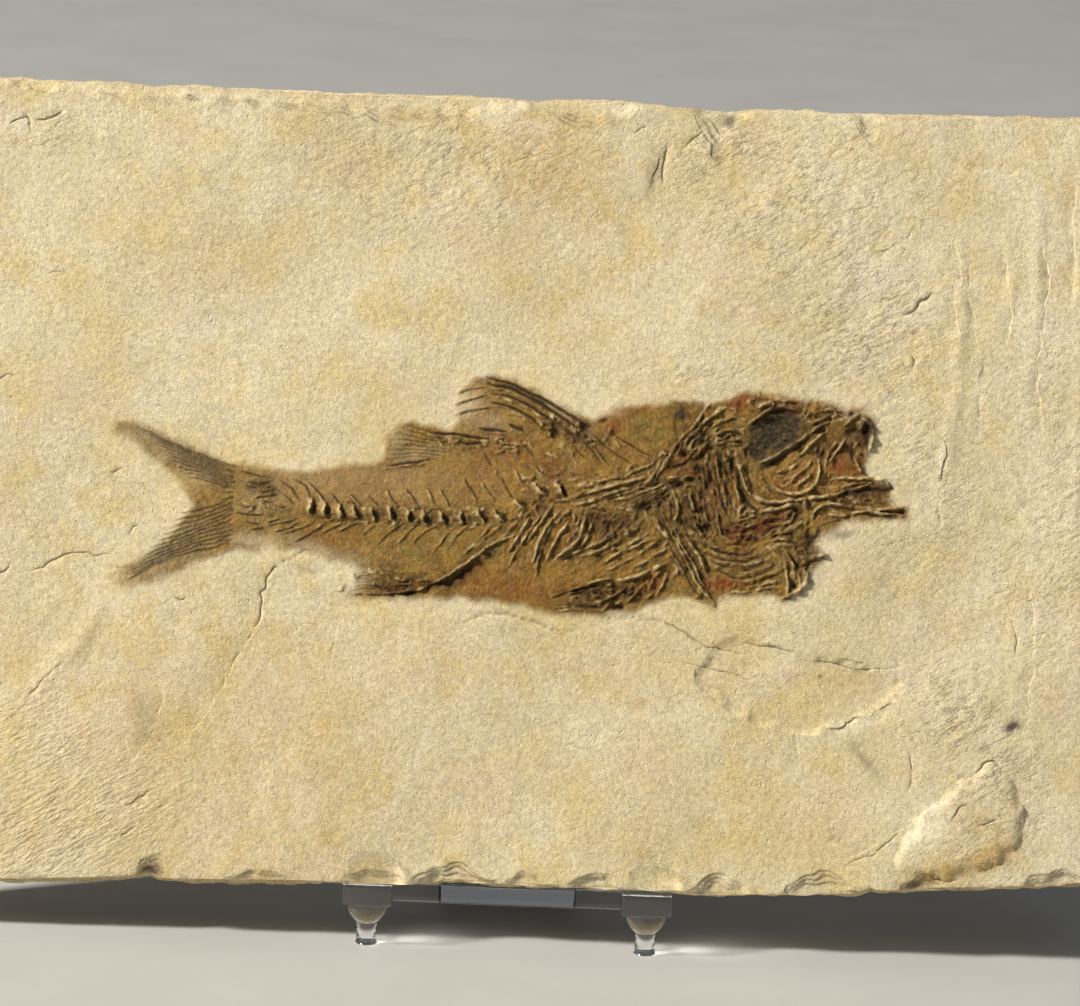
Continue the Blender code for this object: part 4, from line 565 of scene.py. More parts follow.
OCHRE_PATCHES = (
    (35.6, 3, 3.2, 1.8, 24, 1.1), (-14, 0.6, 10, 2, 0, 0.7), (-4.6, 11, 3, 2.6, 0, 0.7),
    (0, 2.6, 6, 2.6, 0, 0.6), (14.4, 5.8, 3, 1.6, -30, 0.6), (-24, 0.4, 6, 1.8, 0, 0.6),
    (6.4, -10.6, 4, 1.8, 0, 0.4), (38.6, 11, 3.6, 1, 0, 0.6), (42, 2.2, 2.6, 0.6, 4, 0.9),
    (-47.6, -12, 2, 1, 20, 0.7), (9, 3.4, 4, 1.4, -10, 0.6), (12.4, -9, 4, 0.8, 10, 0.8),
    (37, 7, 2, 1, 36, 0.5))

ASH_PATCHES = (
    (33.4, 8.5, 2.9, 2.1, 14, 1.4), (31.2, 6.3, 1.8, 1.5, 30, 0.9), (36, 9.6, 1, 0.8, 0, 0.6),
    (42, -4.2, 2, 0.6, 10, 0.4), (44.8, 9, 0.7, 1.2, 0, 0.9), (44.8, 1.3, 2.2, 0.6, 12, 0.6),
    (21.4, 10.2, 0.8, 0.8, 0, 0.6), (30, 7.4, 1.4, 1, 0, 0.4))

# Dark spots; those along the lower side of the anal spine, from (-5.6, -10.3) to (-12.4, -12.8),
# are painted shadow
DARK_SPOTS = (
    (10.8, -3, 1.6, 0.8, -20, 0.8), (12.8, -3.6, 1.6, 0.6, 10, 0.8), (17.3, -1.2, 1, 0.6, 6, 1.4),
    (21.2, 1.5, 0.95, 0.5, 0, 1.2), (21.2, 4, 1.2, 0.4, 20, 0.9), (23.9, 3.5, 0.5, 0.6, 0, 1.1),
    (24.8, -3.8, 0.8, 0.7, 0, 1.1), (23, 2.4, 0.6, 0.4, 0, 0.8), (29.8, -0.2, 0.5, 1.2, 20, 0.9),
    (30.9, -5, 0.7, 0.5, 0, 0.9), (24.2, 0.4, 0.6, 0.7, 0, 0.7), (22.2, -3.2, 0.4, 0.6, 0, 0.8),
    (5.9, 7.6, 0.6, 0.6, 0, 0.9), (9.6, 8.4, 0.7, 0.5, -20, 1.2), (11.8, 9.2, 0.6, 0.25, 20, 0.9),
    (34, 10.9, 1.8, 0.35, 0, 0.9), (33.4, 9.9, 2, 0.6, 0, 0.5), (42.8, 10.9, 0.4, 0.3, 20, 1),
    (44.6, 9, 0.45, 1, -16, 1.2), (42.8, 8.6, 0.6, 0.6, 0, 0.9), (33, 4.6, 1.6, 0.3, 30, 0.8),
    (25, 1.6, 0.5, 0.7, 0, 0.7), (28, 4.3, 0.4, 1.1, -10, 0.9), (26, -5.2, 1.2, 0.4, -20, 0.5),
    (-8.6, -11.7, 1.5, 0.42, 22, 1.3), (-12.4, -12.8, 2.4, 0.26, 4, 1.1),
    (-5.6, -10.3, 1.8, 0.35, 40, 0.8), (9.6, -11.8, 2.6, 0.35, 14, 1.1),
    (14.3, -13.9, 0.6, 0.35, 0, 1.2), (13.8, -11.2, 0.5, 0.7, 0, 0.9),
    (10.4, -14, 2.4, 0.25, 2, 0.8), (47.6, 1.6, 0.7, 0.4, 20, 0.9), (49.2, -1.2, 0.8, 0.25, 0, 1),
    (15.6, -5, 1.6, 0.4, 30, 0.5), (19.2, -0.6, 0.5, 1.2, -10, 0.7), (-30.6, 0.3, 1.3, 0.7, 0, 0.6),
    (42.6, 1.3, 0.9, 0.3, 16, 1), (38, -4.8, 0.5, 1.2, 20, 0.8), (36.4, -8.4, 0.4, 0.8, 0, 0.7),
    (36.2, -10.8, 0.4, 0.5, 0, 0.9), (39.2, 5.6, 0.6, 0.5, 40, 0.7),
    (19.2, -5.8, 0.8, 0.5, 30, 0.7))

# Where loose shreds of bone lie: u, v, half width, half height, turn, how many
SHRED_ZONES = (
    (24, 6, 3.4, 4.4, -30, 44), (23.4, 1.6, 3.2, 2.4, 0, 34), (24, -2.4, 3.2, 3, 0, 36),
    (30, -2.4, 4, 2.6, 16, 24), (34.6, -4.4, 3, 2.2, 20, 18), (36, -9, 2.2, 2.8, 20, 24),
    (36.6, 4.4, 3.6, 3, 30, 20), (37.6, 11.4, 5, 1, -2, 26), (43.4, 8.6, 1.6, 3, 0, 10),
    (31, 11.8, 3, 1, 0, 10), (28, 7.4, 2.4, 2, 10, 20), (42.4, 0.2, 4, 1.2, 8, 12),
    (12, -5, 6, 3.4, 20, 50), (13.6, 0.4, 5, 2.2, 14, 50), (18.4, -0.6, 2.6, 2.4, 0, 30),
    (8, 7.8, 4.6, 1.2, -16, 60), (-3, 6, 8, 0.8, -2, 40), (13, -12.6, 4.6, 1.2, 10, 30),
    (22.6, -8.6, 1.6, 3.4, 24, 20), (4.4, 1.6, 3, 2.2, 30, 34), (-30.5, -1, 3, 2.6, 0, 30),
    (-15, -11, 4.6, 1.2, 2, 26), (-10, -3.1, 14, 1.1, 0, 110))

# Dark umber stains; the two along the lower side of the anal spine, at (-5.6, -10.6) and (-2.6,
# -8.3), are painted shadow
UMBER_PATCHES = (
    (24.2, 4, 4.4, 4.4, -30, 0.7), (24, -1.6, 4.4, 4, 0, 0.75), (29, -4.2, 2.2, 1.2, 0, 1.2),
    (32, -3.2, 2.4, 1.1, 25, 1.2), (35.4, -1.8, 2, 0.7, 28, 1.2), (34, 10.9, 2.4, 0.7, 0, 1.3),
    (37.4, -6.4, 1.8, 3.4, 20, 0.7), (38.6, 9.6, 3, 1.4, 30, 0.6), (43.4, 8, 1.8, 2.6, 0, 0.8),
    (44.4, 0.8, 3.4, 1.1, 10, 0.85), (39.4, 6.2, 1.4, 1.4, 30, 0.7), (14, -3.6, 4.6, 1.9, 14, 0.75),
    (13, -12.6, 5, 1.4, 10, 0.8), (8.6, 7.4, 3.6, 1, -16, 0.75), (19, -0.4, 3.4, 2.2, 0, 0.7),
    (-14, -12.2, 5, 0.9, 4, 0.6), (4, -1.6, 4, 1.6, 30, 0.45), (-31, 0.3, 2.2, 1.2, 0, 0.6),
    (-42, -8.6, 6, 2.4, 34, 0.42), (21.6, 10.6, 1.4, 1, 0, 0.9), (-10, -3.3, 16, 0.8, 0, 0.45),
    (-5.6, -10.6, 2.8, 0.8, 40, 1.3), (-2.6, -8.3, 2.2, 0.5, 42, 1.1),
    (-41, 4.2, 7, 1.8, -22, 0.35), (29.6, -7.8, 4, 1.6, 0, 0.4), (27.4, 3, 1, 2.8, -10, 0.8),
    (28, 11.6, 2, 0.6, 0, 0.5), (-16.6, -9.5, 2.4, 0.35, 0, 0.8), (22.4, -8, 1.4, 3.4, 28, 0.5),
    (33.6, 5.2, 2.4, 0.6, 34, 0.8))

# Where the bone is matted and fibrous
FIBRE_ZONES = (
    (26, 4, 6, 7, -30, 1), (26, -4, 6, 6, 0, 1), (33, -3, 6, 5, 10, 1), (30, -9, 6, 4, 0, 0.8),
    (37, -7, 4, 6, 20, 1), (38, 4, 6, 5, 30, 0.8), (35, 11, 9, 2, 0, 0.8), (44, 7, 3, 5, 0, 0.9),
    (45, 0, 6, 3, 8, 0.8), (13, -5, 7, 4, 20, 0.8), (13, 1, 7, 2.6, 14, 0.8),
    (13, -12.4, 6, 2.4, 14, 0.8), (7, 7.8, 6, 2.2, -16, 0.7), (-2, 6.4, 8, 1.2, -4, 0.6),
    (-12, 6.4, 4, 2.4, 0, 0.4), (-14, -11.8, 6, 1.6, 4, 0.6), (-42, -8, 8, 4, 32, 0.45),
    (-42, 4, 8, 3.4, -24, 0.35), (3, -5, 5, 4, 50, 0.5), (-31, -1, 3, 3, 0, 0.4),
    (-10, -3.2, 16, 1, 0, 0.6), (18, 0, 4, 4, 0, 0.8))

# Fin rays: the outer rays' roots and tips, how many and how bowed, then the half width, rise,
# paleness, and dirt and painted shade of each
FIN_FANS = (
    (((-34.2, 2.6), (-34.0, -0.4), (-46.4, 7.2), (-40.0, 1.0), 10, 0.03), (0.15, -0.1, 0.0, 0.8)),
    (((-34.2, -1.2), (-34.6, -7.2), (-40.6, -3.4), (-48.2, -12.6), 11, 0.06),
     (0.15, -0.12, 0.0, 0.9)),
    (((-33.9, 2.4), (-34.2, -6.6), (-35.6, 2.9), (-36.4, -7.7), 15, 0.0), (0.14, -0.12, 0.0, 0.7)),
    (((-3.4, 6.9), (-8.6, 4.0), (-13.0, 8.3), (-15.2, 3.9), 8, 0.05), (0.14, -0.1, 0.0, 0.7)),
    (((-9.6, -10.4), (-10.4, -12.2), (-17.6, -9.8), (-19.0, -12.6), 7, 0.02),
     (0.14, -0.1, 0.0, 0.7)),
    (((13.4, -12.4), (12.4, -14.2), (6.6, -13.0), (6.0, -14.6), 5, 0.02), (0.18, 0.2, 0.5, 0.5)))

# Thin spines: their half width and depth
FURROW_SETS = (
    (NEURAL_SPINES, 0.14, 0.18), (HAEMAL_SPINES, 0.14, 0.18), (TAIL_STROKES, 0.14, 0.12),
    (CAUDAL_WEDGE, 0.12, 0.14))

# Bones, the lowest first: their half width, rise, paleness, and the dirt and painted shadow beside
# them
BONE_SETS = (
    (HEAD_STRANDS, 0.2, 0.36, 0.42, 1.0), (BELLY_STRANDS, 0.17, 0.3, 0.45, 0.8),
    (RIBS, 0.2, 0.46, 0.65, 1.0), (FIN_BEARERS, 0.15, -0.24, 0.0, 1.0),
    (SHOULDER, 0.24, 0.54, 0.7, 1.0), (PELVIC_SPINES, 0.18, 0.4, 0.5, 1.0),
    (THROAT, 0.2, 0.24, 0.4, 0.2), (LOWER_JAW, 0.26, 0.54, 0.65, 1.0),
    (SKULL, 0.25, 0.6, 0.9, 1.0), ((ANAL_SPINE,), 0.2, 0.75, 0.9, 0.7))


# The places of the easel and of the face

def over_easel(height):
    """A shift to the easel's middle, level with its rear foot's end, at a height in metres."""
    low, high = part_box("display_stand")
    return Matrix.Translation(((low[0] + high[0]) / 2, high[1] - FOOT_REAR * MM, height))


def face_to_world():
    """From the face's millimetres to the world: turned on the easel's shelf and leaned back."""
    return (over_easel(SHELF_HEIGHT * MM) @ Matrix.Rotation(math.pi / 2 - LEAN, 4, "X")
            @ Matrix.Rotation(SLAB_TURN, 4, "Z") @ Matrix.Scale(MM, 4)
            @ Matrix.Translation((-SHELF_U, -SHELF_V, 0)))


def above_shelf(points):
    """Face places, raised to rest on the easel's shelf where they lie over it."""
    over = np.abs(points[:, 0] - SHELF_U) < ARM_U + ARM_WIDTH
    shelf = SHELF_V - (points[:, 0] - SHELF_U) * math.tan(SLAB_TURN) + 0.04
    points[over, 1] = np.maximum(points[over, 1], shelf[over])
    return points


# Noise and lines over arrays of places

def noise(u, v, size, seed):
    """Smooth noise from about -1 to 1 whose lumps are about as wide as the size."""
    turns = np.random.default_rng(seed).random((NOISE_CELLS, NOISE_CELLS)) * math.tau
    x, y = u / size + NOISE_SHIFT[0], v / size + NOISE_SHIFT[1]
    i, j = np.floor(x).astype(int), np.floor(y).astype(int)
    x, y = x - i, y - j

    def slope(di, dj):
        turn = turns[(i + di) % NOISE_CELLS, (j + dj) % NOISE_CELLS]
        return np.cos(turn) * (x - di) + np.sin(turn) * (y - dj)

    ease_x, ease_y = (t * t * t * (t * (t * 6 - 15) + 10) for t in (x, y))
    low = slope(0, 0) + (slope(1, 0) - slope(0, 0)) * ease_x
    high = slope(0, 1) + (slope(1, 1) - slope(0, 1)) * ease_x
    return 1.6 * (low + (high - low) * ease_y)


def shaken(u, v, far, size, seed):
    """Places shifted unevenly, so that smooth lines break like stone."""
    return u + far * noise(u, v, size, seed), v + far * noise(u, v, size, seed + 1)


def heading(degrees):
    """The cosine and sine of a turn."""
    turn = math.radians(degrees)
    return math.cos(turn), math.sin(turn)


def combed_noise(u, v, turn, length, width, seed):
    """Noise drawn out into streaks of a length and width, slanting by a turn in degrees."""
    cosine, sine = heading(turn)
    return noise((u * cosine + v * sine) * width / length, v * cosine - u * sine, width, seed)


def bounded(value):
    """A value kept from 0 to 1."""
    return np.clip(value, 0.0, 1.0)


def eased(value):
    """A share from 0 to 1 with soft ends."""
    value = bounded(value)
    return value * value * (3.0 - 2.0 * value)


def patches(u, v, spots):
    """Soft oval patches, the strongest where they overlap."""
    total = np.zeros(len(u))
    for centre_u, centre_v, half_u, half_v, turn, strength in spots:
        cosine, sine = heading(turn)
        x = ((u - centre_u) * cosine + (v - centre_v) * sine) / half_u
        y = ((v - centre_v) * cosine - (u - centre_u) * sine) / half_v
        total = np.maximum(total, strength * np.exp(-(x * x + y * y)))
    return total


def smooth_line(points, step, closed=False):
    """A curve through the points, as an array of points about one step apart."""
    spots = [Vector(point) for point in points]
    count = len(spots)
    spans = count if closed else count - 1
    result = []
    for number in range(spans):
        a, b = spots[number], spots[(number + 1) % count]
        before = spots[number - 1] if closed or number else a
        after = spots[(number + 2) % count] if closed or number + 2 < count else b
        pieces = max(1, round((b - a).length / step))
        for piece in range(pieces):
            t = piece / pieces
            spot = 0.5 * (2 * a + (b - before) * t + (2 * before - 5 * a + 4 * b - after) * t * t
                          + (3 * a - before - 3 * b + after) * t * t * t)
            result.append(tuple(spot))
    if not closed:
        result.append(tuple(spots[-1]))
    return np.array(result)


def near_line(u, v, line, reach):
    """The places within reach of a line: which, how far off, how far along it, on which side."""
    low, high = line.min(axis=0) - reach, line.max(axis=0) + reach
    which = np.flatnonzero((u > low[0]) & (u < high[0]) & (v > low[1]) & (v < high[1]))
    x, y = u[which], v[which]
    away = np.full(len(which), np.inf)
    along, side = np.zeros(len(which)), np.ones(len(which))
    walked = 0.0
    for start, end in zip(line, line[1:]):
        du, dv = end - start
        length = math.hypot(du, dv) or 1e-9
        share = bounded(((x - start[0]) * du + (y - start[1]) * dv) / length ** 2)
        dx, dy = x - start[0] - share * du, y - start[1] - share * dv
        distance = np.hypot(dx, dy)
        closer = distance < away
        away[closer] = distance[closer]
        along[closer] = walked + share[closer] * length
        side[closer] = np.sign(du * dy - dv * dx)[closer]
        walked += length
    keep = away < reach
    return which[keep], away[keep], along[keep] / walked, side[keep]


def inside(u, v, outline):
    """Which places lie inside a closed outline."""
    within = np.zeros(len(u), bool)
    for (u0, v0), (u1, v1) in zip(outline, np.roll(outline, -1, axis=0)):
        if v0 != v1:
            within ^= ((v0 > v) != (v1 > v)) & (u < u0 + (u1 - u0) * (v - v0) / (v1 - v0))
    return within


def edge_distance(u, v, outline, reach):
    """Distance to a closed outline, up to a reach."""
    result = np.full(len(u), float(reach))
    which, away, _, _ = near_line(u, v, closed_ring(outline), reach)
    result[which] = away
    return result


def tapered(along, thin_end=0.35, slope=4.0):
    """Fades a line towards both of its ends."""
    return np.minimum(1.0, thin_end + slope * np.minimum(along, 1.0 - along))


# The stone's face

def chip_ring(line):
    """The area between a chip's line and the rim beyond it."""
    beyond = math.copysign(CHIP_BEYOND, line[0][1])
    return np.vstack([smooth_line(line, 0.8), [(line[-1][0] + CHIP_FLARE, beyond),
                                               (line[0][0] - CHIP_FLARE, beyond)]])


def chip_edges():
    """The edges of every chip's thin beds, each nested in the last, and the depth lost at each."""
    edges = []
    for line, depth in CHIPS:
        (u0, v0), (u1, v1) = line[0], line[-1]
        for share in CHIP_SHARES:
            inward = (1.0 - share) * min(2.0, 0.3 * (u1 - u0))
            nested = []
            for u, v in line:
                across = (u - u0) / (u1 - u0)
                rim = v0 + (v1 - v0) * across
                nested.append((u + inward * (1.0 - 2.0 * across), rim + (v - rim) * share))
            edges.append((tuple(nested), depth / CHIP_SPLIT))
    return edges


def jagged(u, v):
    """Places shifted for the torn edges of chips and flakes."""
    return shaken(u, v, 0.5, 2.2, 14)


def cracked(u, v):
    """Places shifted for the finer bends of cracks."""
    return shaken(u, v, 0.2, 1.2, 8)


def fallen(u, v, which, side, drop):
    """How far the side below a flake's edge has fallen away, for the places near it."""
    below = side * math.copysign(1.0, drop) < 0
    return below * np.clip(0.6 + noise(u, v, 3.0, 18)[which], 0.0, 1.2)


def stone_height(u, v):
    """Height of the face above its mean plane."""
    height = 0.22 * np.sin(u / 17.0 + 0.8) * np.cos(v / 13.0 - 0.4)
    height += 0.12 * np.sin(u / 6.1 - v / 7.7)
    swell = np.zeros(len(u))
    jagged_u, jagged_v = jagged(u, v)
    for points, half, rise in SWELLS:
        which, away, along, _ = near_line(u, v, smooth_line(points, 1.5), half)
        worn = np.clip(0.6 + 0.6 * noise(u[which], v[which], 4.0, 38), 0.1, 1.0)
        bump = rise * worn * tapered(along, 0.1) * np.cos(away / half * math.pi / 2) ** 2
        swell[which] = np.maximum(swell[which], bump)
    height += swell
    for outline, rise, strip in FACE_BEDS:
        ring = smooth_line(outline, 1.0, closed=True)
        wander = noise(u, v, 2.4, 31) * 0.8 + noise(u, v, 0.9, 16) * 0.4
        depth = edge_distance(u, v, ring, 3.0) + wander
        height += rise * eased(depth / strip) * inside(u, v, ring)
    for line, depth in chip_edges():
        broken = inside(jagged_u, jagged_v, chip_ring(line))
        which, away, _, _ = near_line(jagged_u, jagged_v, smooth_line(line, 0.8), 1.0)
        far = np.ones(len(u))
        far[which] = away
        height -= broken * depth * np.minimum(1.0, 0.55 + 0.45 * far)
    for points, drop, reach in LEDGES:
        which, away, along, side = near_line(jagged_u, jagged_v, smooth_line(points, 0.8), reach)
        lost = fallen(u, v, which, side, drop)
        height[which] -= abs(drop) * lost * tapered(along, 0.0, 5.0) * (1.0 - away / reach)
    cracked_u, cracked_v = cracked(u, v)
    for points, half, depth in CRACKS:
        which, away, along, _ = near_line(cracked_u, cracked_v, smooth_line(points, 0.5), half)
        height[which] -= depth * tapered(along, 0.4) * (1.0 - away / half)
    rough = patches(u, v, ROUGH_ZONES)
    combed = patches(u, v, STRIATED_ZONES)
    height += 0.07 * noise(u, v, 5.2, 1) + 0.03 * noise(u, v, 2.3, 2)
    height += (0.014 + 0.05 * rough) * noise(u, v, 1.2, 3)
    height += (0.008 + 0.05 * rough) * combed_noise(u, v, 38.0, 3.4, 1.1, 4)
    height += 0.07 * combed * combed_noise(u, v, 36.0, 3.6, 0.9, 5)
    height -= (0.02 + 0.12 * rough) * bounded(noise(u, v, 1.6, 6) - 0.35)
    height -= 0.2 * rough * bounded(combed_noise(u, v, 20.0, 2.2, 1.1, 7) - 0.45)
    height += 0.1 * rough * np.clip(noise(u, v, 3.4, 19) - 0.1, 0.0, 0.5)
    return height


def stone_marks(u, v):
    """Shares of each stain, and of the dirt and painted shade in cracks and along the edges of
    flakes and chips, at every place.
    """
    ragged = 0.75 + 0.5 * noise(u, v, 1.6, 11) + 0.3 * noise(u, v, 0.7, 12)
    stain = patches(u, v, YELLOW_STAINS) * np.clip(ragged, 0.2, 1.4)
    brown = bounded(patches(u, v, BROWN_MARKS) * (1.0 + 0.6 * noise(u, v, 0.8, 13)))
    pale = patches(u, v, PALE_MARKS)
    for points, half, strength in PALE_VEINS:
        which, away, along, _ = near_line(u, v, smooth_line(points, 2.0), half * 2.0)
        vein = strength * tapered(along, 0.0) * (1 - away / half / 2) ** 2
        pale[which] = np.maximum(pale[which], vein)
    pale = bounded(pale * np.clip(ragged, 0.3, 1.3))
    crack = np.zeros(len(u))
    cracked_u, cracked_v = cracked(u, v)
    for points, half, _ in CRACKS:
        which, away, along, _ = near_line(cracked_u, cracked_v, smooth_line(points, 0.5), half)
        dirt_and_shade = tapered(along, 0.3) * (1.0 - away / half)
        crack[which] = np.maximum(crack[which], dirt_and_shade)
    jagged_u, jagged_v = jagged(u, v)
    # Painted shadow: a dark line on the fallen side of each flake's edge
    for points, drop, _ in LEDGES:
        which, away, along, side = near_line(jagged_u, jagged_v, smooth_line(points, 0.8), 0.3)
        dirt_and_shade = 2.2 * abs(drop) * tapered(along, 0.0) * (1.0 - away / 0.3)
        crack[which] = np.maximum(crack[which], dirt_and_shade * fallen(u, v, which, side, drop))
    # Painted shade along the steps of the chips' thin beds
    for line, _ in chip_edges():
        which, away, along, _ = near_line(jagged_u, jagged_v, smooth_line(line, 0.6), 0.26)
        dirt_and_shade = 0.9 * tapered(along, 0.0) * (1.0 - away / 0.26)
        dirt_and_shade *= bounded(0.7 + noise(u, v, 2.0, 77)[which])
        crack[which] = np.maximum(crack[which], dirt_and_shade)
    rough = bounded(patches(u, v, ROUGH_ZONES) * (1.0 + 0.9 * noise(u, v, 5.0, 44)))
    combed = bounded(patches(u, v, STRIATED_ZONES) * (1.0 + 0.6 * noise(u, v, 3.0, 45)))
    return {"stain": bounded(stain), "brown": brown, "pale": pale, "crack": crack,
            "rough": rough, "combed": combed}


# The fish

def grid_places(step):
    """Evenly spaced places over the fish and its margin."""
    return np.meshgrid(*(np.arange(low, high, step) for low, high in zip(GRID_LOW, GRID_HIGH)))


def read_grid(field, u, v, step=GRID_STEP):
    """A grid's values at any places."""
    x = np.clip((u - GRID_LOW[0]) / step, 0.0, field.shape[1] - 1.01)
    y = np.clip((v - GRID_LOW[1]) / step, 0.0, field.shape[0] - 1.01)
    i, j = x.astype(int), y.astype(int)
    x, y = x - i, y - j
    low = field[j, i] * (1.0 - x) + field[j, i + 1] * x
    high = field[j + 1, i] * (1.0 - x) + field[j + 1, i + 1] * x
    return low * (1.0 - y) + high * y


def softened(field, width):
    """A grid's values, each shared with its neighbours over a width in millimetres."""
    reach = int(3.0 * width / GRID_STEP)
    weights = np.exp(-0.5 * (np.arange(-reach, reach + 1) * GRID_STEP / width) ** 2)
    for axis in (0, 1):
        field = np.apply_along_axis(np.convolve, axis, field, weights / weights.sum(), "same")
    return field


def backbone():
    """The backbone's line, through the gaps between its vertebrae."""
    return tuple((u, v) for u, v, _, _ in VERTEBRA_GAPS)


def bone_groups():
    """The long bones and strands that the finer fibres and shreds run along."""
    return (HEAD_STRANDS, BELLY_STRANDS, SKULL, LOWER_JAW, THROAT, SHOULDER, RIBS, FIN_BEARERS,
            DORSAL_SPINES, PELVIC_SPINES, TAIL_STROKES, CAUDAL_WEDGE, (ANAL_SPINE, backbone()))


def guide_segments():
    """Middles and steps of short pieces of every guiding bone."""
    lines = [smooth_line(points, 1.0) for group in bone_groups() for points in group]
    lines += [smooth_line(points, 1.5) for points, *_ in fin_strokes()]
    return (np.vstack([(line[1:] + line[:-1]) / 2 for line in lines]),
            np.vstack([line[1:] - line[:-1] for line in lines]))


def bone_direction(u, v):
    """The way that the bones nearest to each place run, as an angle."""
    middles, steps = guide_segments()
    turns = 2.0 * np.arctan2(steps[:, 1], steps[:, 0])
    us, vs = grid_places(FLOW_STEP)
    across, up = np.full(us.shape, 0.004), np.full(us.shape, -0.001)
    for middle, turn in zip(middles, turns):
        pull = np.exp(-((us - middle[0]) ** 2 + (vs - middle[1]) ** 2) / FLOW_REACH ** 2)
        across += pull * math.cos(turn)
        up += pull * math.sin(turn)
    return 0.5 * np.arctan2(read_grid(up, u, v, FLOW_STEP), read_grid(across, u, v, FLOW_STEP))


def drawn_fibres(u, v, way, width, half_length, seed):
    """Noise drawn out along the way that the bones run."""
    total, count = np.zeros(len(u)), 9
    for part in np.linspace(-half_length, half_length, count):
        total += noise(u + np.cos(way) * part, v + np.sin(way) * part, width, seed)
    return total / math.sqrt(count)


def fan(first_root, last_root, first_tip, last_tip, count, bow):
    """Fin rays spread evenly between two outer rays, each bowed sideways by the same share."""
    rays = []
    for number in range(count):
        share = number / (count - 1)
        root = Vector(first_root).lerp(Vector(last_root), share)
        tip = Vector(first_tip).lerp(Vector(last_tip), share)
        side = Vector((root.y - tip.y, tip.x - root.x)) * bow * (1.0 - 2.0 * share)
        rays.append((tuple(root), tuple(root.lerp(tip, 0.5) + side), tuple(tip)))
    return rays


def moved_line(points, du, dv):
    """A line shifted over the face."""
    return tuple((u + du, v + dv) for u, v in points)


def furrows(lines, half, depth):
    """Thin spines: each a furrow darkened with dirt and painted shade, with a low ridge beside it.
    """
    strokes = []
    for points in lines:
        strokes.append((moved_line(points, -0.24, 0.06), 0.2, 0.16, 0.55, 0.0))
        strokes.append((points, half, -depth, 0.0, 1.0))
    return strokes


def fin_strokes():
    """Fin rays and the furrows of fin membranes."""
    return [(ray, *measures) for rays, measures in FIN_FANS for ray in fan(*rays)]


def shreds():
    """Short loose shreds of bone that lie along the bones nearest to them."""
    chance = np.random.default_rng(17)
    middles, slopes = guide_segments()
    strokes = []
    for centre_u, centre_v, half_u, half_v, turn, count in SHRED_ZONES:
        cosine, sine = heading(turn)
        for _ in range(count):
            x, y = chance.normal(0.0, 0.55, 2) * (half_u, half_v)
            spot = np.array((centre_u + x * cosine - y * sine, centre_v + x * sine + y * cosine))
            nearest = np.argmin(((middles - spot) ** 2).sum(axis=1))
            way = math.atan2(slopes[nearest][1], slopes[nearest][0]) + chance.normal(0.0, 0.5)
            half_length = chance.uniform(0.2, 0.9)
            step = np.array((math.cos(way), math.sin(way))) * half_length
            bow = np.array((-step[1], step[0])) * chance.normal(0.0, 0.25)
            points = (tuple(spot - step), tuple(spot + bow), tuple(spot + step))
            strokes.append((points, chance.uniform(0.1, 0.27), chance.uniform(0.06, 0.34),
                            chance.uniform(0.1, 1.0), chance.uniform(0.2, 0.9)))
    return strokes


def fish_strokes():
    """Every bone and furrow, lowest first: points, half width, rise, paleness, dirt and painted
    shade beside it.
    """
    strokes = fin_strokes() + shreds()
    for lines, half, depth in FURROW_SETS:
        strokes += furrows(lines, half, depth)
    for points in DORSAL_SPINES:
        strokes.append((moved_line(points, -0.2, -0.36), 0.2, 0.22, 0.34, 0.0))
        strokes.append((points, 0.3, -0.2, 0.0, 1.0))
    strokes += [(points, *measures) for group, *measures in BONE_SETS for points in group]
    strokes += [(points, half, -depth, 0.0, 1.0) for points, half, depth in HEAD_FURROWS]
    return strokes


def vertebrae():
    """Each gap with the direction of the backbone there."""
    line = np.array(backbone())
    result = []
    for number, (u, v, half, tall) in enumerate(VERTEBRA_GAPS):
        along = line[min(number + 1, len(line) - 1)] - line[max(number - 1, 0)]
        result.append(((u, v), half, tall, along / np.hypot(*along)))
    return result


